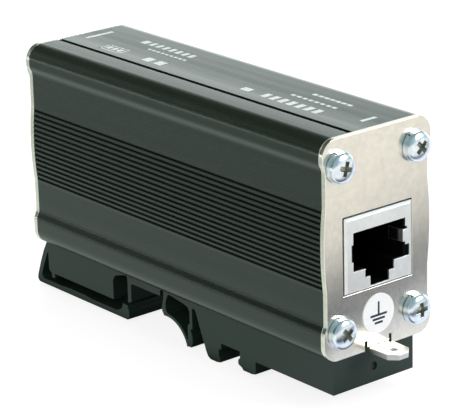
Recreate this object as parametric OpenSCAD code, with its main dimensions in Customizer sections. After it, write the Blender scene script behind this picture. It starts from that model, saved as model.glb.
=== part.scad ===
// Ethernet surge protector for a 35 mm top-hat rail.
// X runs along the housing, +X to the end with the earth tab. Z is up. Millimetres.

/* [Housing] */
// length of the extruded tube between the end plates
body_len = 85.8; // [60:0.1:140]
// width across the upper and lower side bands
body_w = 25.6; // [22:0.1:40]
// height of the tube
body_h = 41.3; // [38:0.1:60]
// outer radius along the four long edges
corner_r = 3.1; // [1:0.1:4]
// wall thickness of the tube
wall = 1.6; // [1.2:0.1:2]
// how far the waist is set in on each side
waist_in = 0.65; // [0.3:0.05:1]
// height of the upper band and its curved step
band_up = 6.05; // [5.5:0.05:8]
// height of the lower band and its curved step
band_low = 7.45; // [6.5:0.05:9]
// height of the curved step between waist and band
waist_step = 2.3; // [1.5:0.1:2.5]

/* [Side grooves] */
// number of fine grooves on each side
groove_n = 15; // [1:1:15]
// spacing of the grooves
groove_pitch = 1.01; // [0.9:0.01:1.2]
// groove width at the mouth
groove_w = 0.62; // [0.4:0.02:0.7]
// groove depth
groove_d = 0.55; // [0.3:0.05:0.6]
// height of the top groove above the tube's centre
groove_top = 7.55; // [6:0.05:8.5]
// how far the crown of the grooved panel stays inside the side bands
panel_short = 0.15; // [0.05:0.05:0.25]
// margin of the panel beyond the outer grooves
panel_margin = 0.9; // [0.7:0.1:1.5]

/* [Top slot] */
// distance of the lengthwise slot from the middle
slot_y = 5.3; // [3:0.1:7]
// width of the lengthwise slot
slot_w = 1.0; // [0.6:0.1:1.5]
// depth of the lengthwise slot
slot_d = 0.7; // [0.3:0.1:0.9]

/* [End plates] */
// thickness of the end plates and the tab
plate_t = 1.0; // [0.8:0.1:1.2]
// distance of the screws from the plate's sides
screw_side = 3.8; // [3.6:0.1:4.3]
// distance of the screws from the plate's top and bottom
screw_edge = 5.25; // [4.8:0.05:6]
// width of the earth tab
tab_w = 5.2; // [4.8:0.1:6.4]
// reach of the earth tab in front of the plate
tab_out = 6.7; // [5:0.1:9]
// size of the tab's two corner cuts
tab_cut = 1.5; // [0.5:0.1:2]
// hole in the tab
tab_hole = 1.5; // [1:0.1:1.8]
// width of the relief slots beside the tab
relief_w = 0.65; // [0.4:0.05:1]
// height of the relief slots
relief_h = 1.9; // [1.7:0.1:3]

/* [Jacks] */
// width of the shielded jack
jack_w = 16.1; // [15.9:0.1:16.3]
// height of the shielded jack
jack_h = 14.2; // [13.5:0.1:14.4]
// depth of the shielded jack
jack_d = 21.0; // [18:0.1:24]
// how far the jack's centre lies below the tube's centre
jack_low = 1.55; // [1:0.05:2]
// how far the jack's face stands out of the plate
jack_proud = 0.5; // [0.2:0.05:0.8]
// gap between the jack and its window in the plate
window_gap = 0.25; // [0.15:0.05:0.4]
// thickness of the jack's shield
shield_t = 0.3; // [0.25:0.05:0.4]

/* [Foot] */
// width of the clip foot
foot_w = 19.4; // [16:0.1:20]
// distance between the two rail hooks, a little under the rail so that the arm is pressed back
hook_gap = 34.5; // [34:0.1:35]
// depth of the rail seat below the tube
seat_drop = 6.35; // [5:0.05:8]
// depth of the lowest leg below the tube
leg_drop = 10.5; // [10.3:0.05:12]
// thickness of the spring arm
arm_t = 1.05; // [0.9:0.05:1.4]

/* [Board] */
// thickness of the circuit board
pcb_t = 1.6; // [1:0.1:1.6]

/* [Hidden] */
$fn = 72;
eps = 0.01;
waist_w = body_w - 2*waist_in;
inner_w = waist_w - 2*wall + 0.1;
inner_h = body_h - 2*wall;
waist_top = body_h/2 - band_up;
waist_low = body_h/2 - band_low;
// the whole is centred on its length: tab in front, spring arm behind
foot_front = plate_t + 0.3;
arm_over = 4.9;
arm_reach = body_len + arm_over;
total_len = tab_out + foot_front + arm_reach;
x_face = total_len/2 - tab_out;
x_back = x_face - body_len - 2*plate_t;
z_bot = leg_drop;
z_mid = z_bot + body_h/2;
// the curved step is two equal arcs
step_r = (pow(waist_step, 2) + pow(waist_in, 2))/(4*waist_in);
step_a = asin(waist_step/2/step_r);
step_n = 6;
// the grooved panel is a flat arc that bulges out of the waist
panel_half = groove_pitch*(groove_n - 1)/2 + panel_margin;
panel_mid = groove_top + panel_margin - panel_half;
panel_out = waist_in - panel_short;
panel_r = (pow(panel_half, 2) + pow(panel_out, 2))/(2*panel_out);
panel_y = waist_w/2 + panel_out - panel_r;
// the grooves flare at the mouth, down to the depth of their lips
groove_lip = 0.1;
groove_flare = 0.5;
groove_floor = 0.3;
// screws, with the turn of each recess from one plate corner to the next
screw_dy = body_w - 2*screw_side;
screw_dz = body_h - 2*screw_edge;
screw_r = 1.45;
port_r = 1.5;
port_wall = 1.0;
plate_hole_r = 1.7;
head_r = 2.8;
head_h = 1.55;
head_rim = 0.5;
recess_w = 0.6;
recess_len = 2.8;
recess_d = 1.1;
recess_core_r = 0.85;
recess_turns = [-16, -47, -52, 3];
screw_len = 9;
washer_r = 3.05;
washer_t = 0.65;
washer_gap = 0.6;
washer_turns = [200, 215, 190, 205];
// jack opening, measured from the jack's centre
jack_z = -jack_low;
win_half = 6.25;
win_top = 4.2;
win_low = 3.1;
step_half = 3.45;
step_low = 4.75;
latch_half = 2.25;
latch_low = 6.6;
finger_top = 2.0;
finger_low = 0.3;
finger_in = 0.6;
cheek_out = 0.95;
cheek_top = 0.9;
relief_out = 0.45;
relief_up = 0.55;
left_out = 0.4;
left_low = 1.25;
bevel = 0.4;
cav_half = 5.95;
cav_d = 14.5;
contact_n = 8;
contact_pitch = 1.02;
contact_w = 0.46;
contact_t = 0.36;
// board
pcb_top = jack_z - jack_h/2;
pcb_w = inner_w - 0.4;
pcb_len = body_len - 1.0;
rib_t = 1.2;
// the ribs reach halfway from the wall to the jack
rib_d = (inner_w - jack_w)/4;
gdt_n = 4;
gdt_r = 3.8;
gdt_len = 10;
// the arresters share the room between the two jacks
gdt_pitch = (body_len + 2*plate_t - 2*(jack_d - jack_proud))/gdt_n;
gdt_lift = 0.4;
gdt_end = 0.8;
gdt_mid = 1.0;
gdt_foot_w = 3.2;
gdt_foot_h = 1.6;
chip_len = 4.6;
chip_w = 3.6;
chip_h = 2.2;
chip_lead_w = 2.0;
chip_lead_t = 0.4;
res_len = 6.4;
res_w = 3.2;
res_t = 0.7;
res_gap = 0.1;
strap_w = 6.0;
strap_len = 8.0;
strap_t = 0.5;
strap_gap = 1.9;
// foot fixing
tee_neck = 8.0;
tee_head = 12.0;
tee_neck_h = 1.6;
tee_head_h = 1.5;
tee_gap = 0.1;
tee_wall = 1.2;
tee_floor = tee_neck_h + tee_head_h + tee_wall;
// the strap ends above the thick floor
strap_drop = body_h/2 - tee_floor + pcb_top - pcb_t - strap_gap;
// round sticker between the jack and the tab
label_t = 0.15;
label_up = 1.45;
label_down = 0.9;
label_low = body_h/2 - relief_h - label_down;
label_r = (label_low - (jack_low + jack_h/2 + window_gap) - label_up)/2;
label_z = label_low - label_r;

module along_x(x0, len)
    translate([x0, 0, z_mid]) rotate([90, 0, 90]) linear_extrude(height = len) children();

module along_y(w)
    translate([0, w/2, 0]) rotate([90, 0, 0]) linear_extrude(height = w) children();

// places parts drawn for the tab end at either end of the housing
module at_end(end)
    if (end > 0) translate([x_face, 0, z_mid]) children();
    else translate([x_back, 0, z_mid]) rotate([0, 0, 180]) children();

module rounded_box(w, h, r) {
    square([w, h - 2*r], center = true);
    square([w - 2*r, h], center = true);
    for (sy = [-1, 1], sz = [-1, 1])
        translate([sy*(w/2 - r), sz*(h/2 - r)]) circle(r = r);
}

// one curved step, from the waist out to the band, as points
function step_pts(y0, z0, up) = concat(
    [for (i = [0 : step_n])
        let (a = step_a*i/step_n) [y0 + step_r*(1 - cos(a)), z0 + up*step_r*sin(a)]],
    [for (i = [1 : step_n])
        let (a = step_a*(1 - i/step_n))
        [y0 + waist_in - step_r*(1 - cos(a)), z0 + up*(waist_step - step_r*sin(a))]]);

module waist_cut()
    polygon(concat(
        step_pts(waist_w/2, waist_top, 1),
        [[body_w/2 + 1, waist_top + waist_step], [body_w/2 + 1, -waist_low - waist_step]],
        [for (i = [2*step_n : -1 : 0]) step_pts(waist_w/2, -waist_low, -1)[i]]));

// the bulge of one side, as an arc that runs into the waist
module panel()
    intersection() {
        translate([panel_y, panel_mid]) circle(r = panel_r, $fn = 720);
        translate([0, panel_mid - panel_half - 1]) square([body_w, 2*panel_half + 2]);
    }

module outline() {
    difference() {
        rounded_box(body_w, body_h, corner_r);
        waist_cut();
        mirror([1, 0]) waist_cut();
    }
    panel();
    mirror([1, 0]) panel();
}

// half the width of a groove at a depth within its lips
function lip_half(depth) = groove_w/2 - depth*groove_flare;

module side_grooves()
    for (i = [0 : groove_n - 1])
        let (z = groove_top - i*groove_pitch)
            translate([panel_y + sqrt(pow(panel_r, 2) - pow(z - panel_mid, 2)), z])
                polygon([[groove_lip, -lip_half(-groove_lip)], [groove_lip, lip_half(-groove_lip)],
                    [-groove_lip, lip_half(groove_lip)], [-groove_d, groove_floor/2],
                    [-groove_d, -groove_floor/2], [-groove_lip, -lip_half(groove_lip)]]);

module tee(neck, head, neck_h, head_h) {
    translate([-neck/2, -body_h/2 - eps]) square([neck, neck_h + 2*eps]);
    translate([-head/2, -body_h/2 + neck_h]) square([head, head_h]);
}

module inner_space() {
    // slot for the board
    translate([-inner_w/2, pcb_top - pcb_t]) square([inner_w, pcb_t]);
    difference() {
        rounded_box(inner_w, inner_h, 1);
        // screw ports in the four corners
        for (sy = [-1, 1], sz = [-1, 1]) {
            translate([sy*screw_dy/2, sz*screw_dz/2]) circle(r = port_r + port_wall);
            translate([sy*(screw_dy/2 + screw_side/2) - screw_side/2,
                    sz*(screw_dz/2 + screw_edge/2) - screw_edge/2])
                square([screw_side, screw_edge]);
        }
        // thick floor round the foot's fixing slot
        translate([-tee_head/2 - 1.5, -body_h/2]) square([tee_head + 3, tee_floor]);
        // ribs that hold the board
        for (sy = [-1, 1], z = [pcb_top, pcb_top - pcb_t - rib_t])
            translate([sy > 0 ? inner_w/2 - rib_d : -inner_w/2 - 1, z])
                square([rib_d + 1, rib_t]);
    }
}

module housing()
    color([0.2, 0.23, 0.22])
    along_x(x_back + plate_t, body_len)
        difference() {
            outline();
            side_grooves();
            mirror([1, 0]) side_grooves();
            translate([-slot_y - slot_w/2, body_h/2 - slot_d]) square([slot_w, slot_d + 1]);
            inner_space();
            for (sy = [-1, 1], sz = [-1, 1])
                translate([sy*screw_dy/2, sz*screw_dz/2]) circle(r = port_r);
            tee(tee_neck, tee_head, tee_neck_h, tee_head_h);
        }

module plate_face()
    difference() {
        outline();
        translate([0, jack_z])
            square([jack_w + 2*window_gap, jack_h + 2*window_gap], center = true);
        for (sy = [-1, 1], sz = [-1, 1])
            translate([sy*screw_dy/2, sz*screw_dz/2]) circle(r = plate_hole_r);
    }

module plate_blank()
    translate([-plate_t, 0, 0]) rotate([90, 0, 90]) linear_extrude(height = plate_t) children();

bend_r = 0.3;
tab_top = -body_h/2 + 0.75;

module tab_side() {
    translate([-plate_t, tab_top + bend_r]) square([plate_t, relief_h]);
    translate([bend_r, tab_top - plate_t]) square([tab_out - bend_r, plate_t]);
    intersection() {
        translate([bend_r, tab_top + bend_r]) difference() {
            circle(r = bend_r + plate_t);
            circle(r = bend_r);
        }
        translate([-plate_t - 1, tab_top - plate_t - 1])
            square([plate_t + bend_r + 1, plate_t + bend_r + 1]);
    }
}

module tab_plan()
    polygon([[-plate_t - 1, -tab_w/2], [tab_out - tab_cut, -tab_w/2],
        [tab_out, -tab_w/2 + tab_cut], [tab_out, tab_w/2 - tab_cut],
        [tab_out - tab_cut, tab_w/2], [-plate_t - 1, tab_w/2]]);

module front_plate()
    color([0.75, 0.72, 0.66])
    at_end(1) {
        plate_blank()
            difference() {
                plate_face();
                translate([-tab_w/2 - relief_w, -body_h/2 - 1])
                    square([tab_w + 2*relief_w, relief_h + 1]);
            }
        difference() {
            intersection() {
                along_y(tab_w + 1) tab_side();
                translate([0, 0, -body_h]) linear_extrude(height = body_h) tab_plan();
            }
            translate([tab_out - 2.6, 0, tab_top - plate_t - 1])
                cylinder(r = tab_hole/2, h = plate_t + 2);
        }
    }

module rear_plate()
    color([0.75, 0.72, 0.66])
    at_end(-1) plate_blank() plate_face();

// domed head with a cross recess, and a plain shank for the thread
module screw_at(end, corner) {
    dome_h = head_h - head_rim;
    dome_r = (pow(head_r, 2) + pow(dome_h, 2))/(2*dome_h);
    at_end(end) translate([washer_t, corner[0]*screw_dy/2, corner[1]*screw_dz/2]) rotate([0, 90, 0]) {
        difference() {
            rotate_extrude() intersection() {
                square([head_r, head_h]);
                translate([0, head_h - dome_r]) circle(r = dome_r);
            }
            for (a = [0, 90]) rotate([0, 0, a + corner[2]])
                translate([-recess_len/2, -recess_w/2, head_h - recess_d])
                    cube([recess_len, recess_w, recess_d + 1]);
            translate([0, 0, head_h - recess_d - 0.2])
                cylinder(r1 = recess_w/2, r2 = recess_core_r, h = recess_d + 0.21);
        }
        translate([0, 0, -screw_len]) cylinder(r = screw_r, h = screw_len + eps);
    }
}

module screw_node(end, corner) color([0.8, 0.8, 0.8]) screw_at(end, corner);

// spring washer, split at one side
module washer_node(end, corner)
    color([0.7, 0.7, 0.7])
    at_end(end) translate([0, corner[0]*screw_dy/2, corner[1]*screw_dz/2]) rotate([0, 90, 0])
        difference() {
            cylinder(r = washer_r, h = washer_t);
            translate([0, 0, -1]) cylinder(r = port_r + 0.1, h = washer_t + 2);
            rotate([0, 0, corner[3]]) translate([0, -washer_gap/2, -1])
                cube([washer_r + 1, washer_gap, washer_t + 2]);
        }

// opening in the shield: staircase towards the latch, with the spring finger's cut-outs
module jack_window()
    polygon([[-win_half, win_top], [win_half, win_top],
        [win_half, finger_top + relief_up], [win_half + relief_out, finger_top + relief_up],
        [win_half + relief_out, finger_top], [win_half - finger_in, finger_top],
        [win_half - finger_in, -finger_low], [win_half, -finger_low],
        [win_half, -cheek_top], [win_half + cheek_out, -cheek_top],
        [win_half + cheek_out, -win_low], [step_half, -win_low],
        [step_half, -step_low], [latch_half, -step_low],
        [latch_half, -latch_low], [-latch_half, -latch_low],
        [-latch_half, -step_low], [-step_half, -step_low],
        [-step_half, -win_low], [-win_half, -win_low],
        [-win_half, -left_low], [-win_half - left_out, -left_low],
        [-win_half - left_out, finger_top], [-win_half, finger_top]]);

module jack_shape(d, w, h, b)
    intersection() {
        translate([-d, 0, 0]) rotate([90, 0, 90]) linear_extrude(height = d + 1)
            square([w, h], center = true);
        translate([0, 0, -h]) linear_extrude(height = 2*h)
            polygon([[-d, -w/2], [-b, -w/2], [0, -w/2 + b], [0, w/2 - b], [-b, w/2], [-d, w/2]]);
        along_y(w + 2)
            polygon([[-d, -h/2], [-b, -h/2], [0, -h/2 + b], [0, h/2 - b], [-b, h/2], [-d, h/2]]);
    }

module at_jack(end) at_end(end) translate([jack_proud, 0, jack_z]) children();

module jack_shield(end)
    color([0.78, 0.77, 0.74])
    at_jack(end) {
        difference() {
            jack_shape(jack_d, jack_w, jack_h, bevel);
            // room for the insulator, open below and behind
            translate([-jack_d - 1, -jack_w/2 + shield_t, -jack_h/2 + shield_t])
                cube([jack_d + 1 - bevel, jack_w - 2*shield_t, jack_h - 2*shield_t]);
            translate([-jack_d - 1, -jack_w/2 + shield_t, -jack_h/2 - 1])
                cube([jack_d - 3, jack_w - 2*shield_t, 2]);
            translate([-1, 0, 0]) rotate([90, 0, 90]) linear_extrude(height = 2) jack_window();
        }
        // spring finger inside the right cheek
        translate([-0.15, win_half - finger_in, -finger_low])
            rotate([0, 0, 188]) translate([0, -0.25, 0])
                cube([3.2, 0.25, finger_top + finger_low]);
    }

module contact_path(grow)
    polygon([[-jack_d + 2.0 - grow, -jack_h/2 - pcb_t - 0.8],
        [-jack_d + 2.0 - grow, win_top + 0.9 + contact_t + grow],
        [-2.2 + grow, win_top + 0.9 + contact_t + grow],
        [-2.2 + grow, win_top + 0.9 - grow],
        [-jack_d + 2.0 + contact_t + grow, win_top + 0.9 - grow],
        [-jack_d + 2.0 + contact_t + grow, -jack_h/2 - pcb_t - 0.8]]);

module contact_spring()
    polygon([[-2.2, win_top + 0.9], [-2.2, win_top + 0.9 + contact_t],
        [-2.6, win_top + 0.9 + contact_t], [-10.5, win_top - 2.6 + contact_t],
        [-10.5, win_top - 2.6], [-3.2, win_top + 0.9]]);

module insulator(end)
    color([0.06, 0.06, 0.06])
    at_jack(end) difference() {
        translate([-jack_d, -jack_w/2 + shield_t, -jack_h/2 + shield_t])
            cube([jack_d - bevel, jack_w - 2*shield_t, jack_h - 2*shield_t]);
        // plug space
        translate([-cav_d, 0, 0]) rotate([90, 0, 90]) linear_extrude(height = cav_d + 1) {
            translate([-cav_half, -win_low]) square([2*cav_half, win_top + win_low]);
            translate([-step_half, -step_low]) square([2*step_half, step_low]);
            translate([-latch_half, -latch_low]) square([2*latch_half, latch_low]);
        }
        // slots for the contacts
        for (i = [0 : contact_n - 1])
            translate([0, (i - (contact_n - 1)/2)*contact_pitch, 0]) {
                along_y(contact_w) contact_path(0);
                translate([-11.5, -contact_w/2 - 0.05, win_top - 1])
                    cube([9.3, contact_w + 0.1, 1.9]);
            }
        // space behind for the rising leads
        translate([-jack_d - 1, -jack_w/2 - 1, -jack_h/2 - 1])
            cube([3.0, jack_w + 2, jack_h/2 + win_top]);
        // pegs stand on the board, the rest is open below
        translate([-jack_d + 4, -jack_w/2 + 2, -jack_h/2 - 1]) cube([jack_d - 9, jack_w - 4, 1.1]);
    }

module contacts(end)
    color([0.85, 0.68, 0.3])
    at_jack(end)
        for (i = [0 : contact_n - 1])
            translate([0, (i - (contact_n - 1)/2)*contact_pitch, 0]) {
                along_y(contact_w) contact_path(0);
                along_y(contact_w) contact_spring();
            }

module label_disc()
    color([0.93, 0.93, 0.92])
    at_end(1) translate([0, 0, -label_z]) rotate([0, 90, 0]) cylinder(r = label_r, h = label_t);

// foot profile points: d behind the front face, h below the tube
function fp(d, h) = [-d, -h];

seat_front = 26.2;
seat_back = seat_front + hook_gap;
nose = 0.55;
bump_low = leg_drop - 0.65;
arm_low = leg_drop - 0.65;
arm_top = arm_low - arm_t;
block_low = seat_drop + 0.75;
web_low = seat_drop + 0.45;
lip_low = seat_drop + 1.3;
leg_r = seat_front + 5.5;
strut_d = seat_back - 1.5;
recess_top = 1.9;
post_gap = 8.55;
post_d = leg_r + post_gap;
post_t = 0.75;
leaf_r = 6.3;
leaf_t = 0.65;
leaf_top = 5.55;
// middle of the leaf's arc, which starts inside the post's tip
leaf_d = post_d + 0.8 + leaf_r + leaf_t;
leaf_h = leaf_top + leaf_r;
bay_d = leaf_d + 0.9;

// solid front block, front bump with its nose, and the leg
module foot_front_half()
    polygon([fp(0, 0), fp(0, block_low), fp(seat_front - 4.5, block_low),
        fp(seat_front - 4.5, bump_low - 0.25), fp(seat_front - 3.4, bump_low),
        fp(seat_front - 0.9, bump_low), fp(seat_front - 0.6, bump_low - 0.4),
        fp(seat_front + nose - 0.15, bump_low - 0.8), fp(seat_front + nose, bump_low - 1.1),
        fp(seat_front + nose - 0.05, lip_low + 0.45), fp(seat_front, lip_low),
        fp(seat_front, seat_drop), fp(leg_r, seat_drop), fp(leg_r, lip_low),
        fp(leg_r + 0.8, lip_low), fp(leg_r + 0.75, lip_low + 1.25),
        fp(leg_r + 0.45, leg_drop - 0.9), fp(leg_r + 0.3, leg_drop - 0.2),
        fp(leg_r + 1.4, leg_drop), fp(leg_r + 3.2, leg_drop), fp(leg_r + 4.0, leg_drop - 0.45),
        fp(leg_r + 4.5, leg_drop - 1.3), fp(leg_r + 4.8, leg_drop - 2.1),
        fp(leg_r + 5.1, leg_drop - 2.8), fp(post_d - 1.15, 2.1), fp(post_d - 0.95, 1.75),
        fp(post_d - 0.6, 1.6), fp(post_d - 0.2, 1.75), fp(post_d, 2.1), fp(post_d, 0)]);

// thin post, curved leaf and leaning strut that spring against the rail's channel
module foot_leaf() {
    polygon([fp(post_d, 0), fp(post_d, 6.0), fp(post_d + 0.55, 6.15), fp(post_d + 0.55, 6.45),
        fp(post_d + 0.05, 7.7), fp(post_d + 0.05, 8.9), fp(post_d + 0.45, bump_low),
        fp(post_d + 1.4, bump_low), fp(post_d + 1.9, bump_low - 0.5),
        fp(post_d + 1.4, 8.3), fp(post_d + 1.4, 5.6), fp(post_d + post_t, 5.1),
        fp(post_d + post_t, 2.65), fp(post_d + 0.95, 2.2), fp(post_d + 1.4, 1.75),
        fp(post_d + 2.6, 1.45), fp(post_d + 4.3, 1.25), fp(post_d + 6.0, 0.95),
        fp(bay_d - 1.4, 0.95), fp(bay_d - 1.4, 0)]);
    intersection() {
        translate(fp(leaf_d, leaf_h)) difference() {
            circle(r = leaf_r + leaf_t);
            circle(r = leaf_r);
        }
        polygon([fp(leaf_d, leaf_h), fp(leaf_d + 1.1, 4.5), fp(post_d, 4.5),
            fp(post_d, 9.5)]);
    }
    polygon([fp(bay_d - 1.4, 0), fp(bay_d - 1.4, 0.95), fp(bay_d - 1.0, 1.55),
        fp(bay_d - 0.6, 2.55), fp(bay_d - 0.5, 3.6), fp(bay_d - 0.65, 4.4),
        fp(bay_d - 1.2, leaf_h - leaf_r - leaf_t + 0.05), fp(bay_d - 1.0, leaf_h - leaf_r),
        fp(bay_d, leaf_h - leaf_r), fp(bay_d + 0.55, 4.75), fp(bay_d + 0.6, 4.3),
        fp(bay_d + 0.5, 3.75), fp(bay_d + 0.1, 2.4), fp(bay_d, 1.35), fp(bay_d, 0)]);
}

// roof over the rail, hook, spring arm and the slanted rear wall
module foot_rear_half() {
    end = arm_reach;
    polygon([fp(bay_d - 0.1, 0), fp(bay_d - 0.1, 0.8), fp(bay_d + 0.2, 0.6), fp(bay_d + 0.8, 0.6),
        fp(bay_d + 1.1, 0.85), fp(bay_d + 1.1, recess_top), fp(strut_d - 0.5, recess_top),
        fp(strut_d, recess_top + 0.4), fp(strut_d, 5.8), fp(seat_back, seat_drop),
        fp(seat_back, seat_drop + 0.25), fp(seat_back - 0.3, lip_low - 0.2),
        fp(seat_back - 0.5, lip_low + 0.1), fp(seat_back - 0.6, lip_low + 0.7),
        fp(seat_back - 0.6, arm_low - 0.55), fp(seat_back - 0.1, arm_low),
        fp(end - 0.9, arm_low), fp(end - 0.4, arm_low - 0.15), fp(end - 0.1, arm_low - 0.5),
        fp(end, arm_low - 0.95), fp(end - 0.3, 7.95), fp(end - 1.4, 5.05),
        fp(end - 2.45, 2.65), fp(end - 3.95, 0)]);
}

module foot_rear_gaps() {
    end = arm_reach;
    // upright slot in front of the solid rear part, open to the gap above the arm
    polygon([fp(strut_d + 1.05, arm_top - 2), fp(strut_d + 1.05, 1.2), fp(strut_d + 1.2, 0.8),
        fp(strut_d + 1.7, 0.65), fp(strut_d + 4.4, 1.4), fp(strut_d + 5.2, 1.8),
        fp(strut_d + 5.8, 2.75), fp(strut_d + 5.8, arm_top - 2)]);
    // gap between the solid rear part and the arm, from the hook to the rear wall
    polygon([fp(strut_d + 1.2, 5.1), fp(strut_d + 2.3, 5.9), fp(seat_back + 1.4, 6.45),
        fp(seat_back + 1.45, 7.45), fp(seat_back + 1.9, 8.1), fp(seat_back + 2.6, arm_top - 0.25),
        fp(seat_back + 3.4, arm_top), fp(seat_back + 11.8, arm_top),
        fp(seat_back + 13.8, arm_top - 0.2), fp(end - 11.2, arm_top - 0.2), fp(end - 8.2, arm_top),
        fp(end - 2.3, arm_top), fp(end - 1.7, arm_top - 0.25), fp(end - 1.5, arm_top - 0.9),
        fp(end - 1.9, 6.75), fp(end - 2.85, 4.65), fp(end - 3.75, 2.7), fp(end - 4.05, 2.8),
        fp(end - 4.1, 6.1), fp(end - 4.35, 6.6), fp(end - 4.95, web_low),
        fp(end - 5.0, web_low + 1.0), fp(end - 6.0, web_low + 1.0), fp(end - 6.0, web_low),
        fp(strut_d + 5.7, web_low), fp(strut_d + 5.7, 5.1)]);
}

module foot_profile() {
    foot_front_half();
    foot_leaf();
    difference() {
        foot_rear_half();
        foot_rear_gaps();
    }
}

module foot()
    color([0.25, 0.3, 0.28]) {
        translate([x_face - foot_front, 0, z_bot]) difference() {
            along_y(foot_w) foot_profile();
            // moulded dot on the front face
            translate([-0.5, 0, -4.1]) rotate([0, 90, 0]) cylinder(r = 0.85, h = 1);
        }
        // rib that slides into the tube's floor
        along_x(x_back + plate_t + 0.2, body_len - 0.4)
            tee(tee_neck - 2*tee_gap, tee_head - 2*tee_gap, tee_neck_h + tee_gap,
                tee_head_h - 2*tee_gap);
    }

module board()
    color([0.1, 0.35, 0.18])
    difference() {
        translate([x_back + plate_t + (body_len - pcb_len)/2, -pcb_w/2, z_mid + pcb_top - pcb_t])
            cube([pcb_len, pcb_w, pcb_t]);
        // lead holes of both jacks
        for (end = [-1, 1]) at_jack(end)
            for (i = [0 : contact_n - 1])
                translate([-jack_d + 2.0 + contact_t/2, (i - (contact_n - 1)/2)*contact_pitch,
                        -jack_h/2 - pcb_t - 1])
                    cylinder(r = 0.35, h = pcb_t + 2, $fn = 24);
    }

function gdt_x(i) = (x_face + x_back)/2 + (i - (gdt_n - 1)/2)*gdt_pitch;

// ceramic tubes of one three-electrode arrester
module arrester(i)
    color([0.9, 0.88, 0.82])
    translate([gdt_x(i), 0, z_mid + pcb_top + gdt_lift + gdt_r])
        for (s = [-1, 1])
            translate([0, s > 0 ? gdt_mid/2 : -gdt_len/2 + gdt_end, 0]) rotate([-90, 0, 0])
                cylinder(r = gdt_r - 0.2, h = gdt_len/2 - gdt_end - gdt_mid/2);

module electrodes(i)
    color([0.75, 0.75, 0.77])
    translate([gdt_x(i), 0, z_mid + pcb_top + gdt_lift + gdt_r]) {
        for (y = [[-gdt_len/2, gdt_end], [-gdt_mid/2, gdt_mid], [gdt_len/2 - gdt_end, gdt_end]]) {
            translate([0, y[0], 0]) rotate([-90, 0, 0]) cylinder(r = gdt_r, h = y[1]);
            translate([-gdt_foot_w/2, y[0], -gdt_r - gdt_lift])
                cube([gdt_foot_w, y[1], gdt_foot_h]);
        }
    }

module suppressor(i)
    color([0.12, 0.12, 0.13])
    translate([gdt_x(i), 0, z_mid + pcb_top - pcb_t]) {
        translate([-chip_len/2, -chip_w/2, -chip_h - 0.1]) cube([chip_len, chip_w, chip_h]);
        for (s = [-1, 1])
            translate([s*(chip_len/2 + 0.1) - 0.5, -chip_lead_w/2, -chip_lead_t])
                cube([1.0, chip_lead_w, chip_lead_t]);
    }

// series resistor beside the board's rib
module resistor(i, s)
    color([0.16, 0.16, 0.16])
    translate([gdt_x(i), s*(inner_w/2 - rib_d - res_gap - res_w/2), z_mid + pcb_top + res_t/2])
        cube([res_len, res_w, res_t], center = true);

// strip that carries surges from the board to the tab plate
module ground_strap()
    color([0.8, 0.62, 0.3])
    translate([x_face - plate_t, 0, z_mid + pcb_top - pcb_t])
        along_y(strap_w)
            polygon([[0, -strap_drop], [0, 0], [-strap_len, 0], [-strap_len, -strap_t],
                [-strap_t, -strap_t], [-strap_t, -strap_drop]]);

ENDS = [["front", 1], ["rear", -1]];
// side, height, turn of the recess and turn of the washer's gap for each corner of a plate
CORNERS = [for (i = [0 : 3])
    [i % 2 == 0 ? -1 : 1, i < 2 ? 1 : -1, recess_turns[i], washer_turns[i]]];

housing();
front_plate();
rear_plate();
foot();
board();
label_disc();
ground_strap();
for (e = ENDS) {
    jack_shield(e[1]);
    insulator(e[1]);
    contacts(e[1]);
    for (i = [1 : 4]) {
        screw_node(e[1], CORNERS[i - 1]);
        washer_node(e[1], CORNERS[i - 1]);
    }
}
for (i = [1 : 4]) {
    arrester(i - 1);
    electrodes(i - 1);
    suppressor(i - 1);
    resistor(i - 1, -1);
    resistor(i - 1, 1);
}
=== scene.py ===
"""Looks of a surge protector for a network cable: finishes, print, screws, light and camera.

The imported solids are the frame, in metres, with +X towards the end with the earth tab and +Z up.
Each sub-assembly is a class, each finish a frozen dataclass, and main() builds them in order.
"""
import logging
import math
from dataclasses import dataclass, field
from enum import Enum
from typing import Callable, Iterable, Sequence

import bmesh
import bpy
from mathutils import Euler, Matrix, Vector


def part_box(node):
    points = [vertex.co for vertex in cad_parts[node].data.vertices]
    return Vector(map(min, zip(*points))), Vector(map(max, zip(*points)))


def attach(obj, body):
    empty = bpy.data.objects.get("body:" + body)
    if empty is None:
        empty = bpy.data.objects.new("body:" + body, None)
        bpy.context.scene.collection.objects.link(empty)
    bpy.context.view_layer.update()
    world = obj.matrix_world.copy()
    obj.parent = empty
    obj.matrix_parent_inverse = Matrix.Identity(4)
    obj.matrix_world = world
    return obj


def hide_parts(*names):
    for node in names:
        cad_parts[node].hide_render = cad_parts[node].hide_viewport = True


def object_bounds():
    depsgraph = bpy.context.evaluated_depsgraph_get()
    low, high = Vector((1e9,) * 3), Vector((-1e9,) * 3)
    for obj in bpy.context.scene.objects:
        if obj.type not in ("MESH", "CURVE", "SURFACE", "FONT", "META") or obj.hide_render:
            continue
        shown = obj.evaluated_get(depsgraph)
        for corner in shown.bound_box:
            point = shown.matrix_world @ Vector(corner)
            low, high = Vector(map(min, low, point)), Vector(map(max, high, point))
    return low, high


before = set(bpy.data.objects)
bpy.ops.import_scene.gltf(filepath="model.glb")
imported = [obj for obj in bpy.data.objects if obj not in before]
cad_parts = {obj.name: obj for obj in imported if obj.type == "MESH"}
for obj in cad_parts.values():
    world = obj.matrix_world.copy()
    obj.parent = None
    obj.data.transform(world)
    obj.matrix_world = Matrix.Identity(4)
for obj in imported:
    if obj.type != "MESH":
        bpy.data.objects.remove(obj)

LOG = logging.getLogger("surge_protector")
MM = 0.001
BODY = "root"
IMAGE_WIDTH = 470
CAD_BOUNDS = [list(corner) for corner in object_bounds()]

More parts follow.
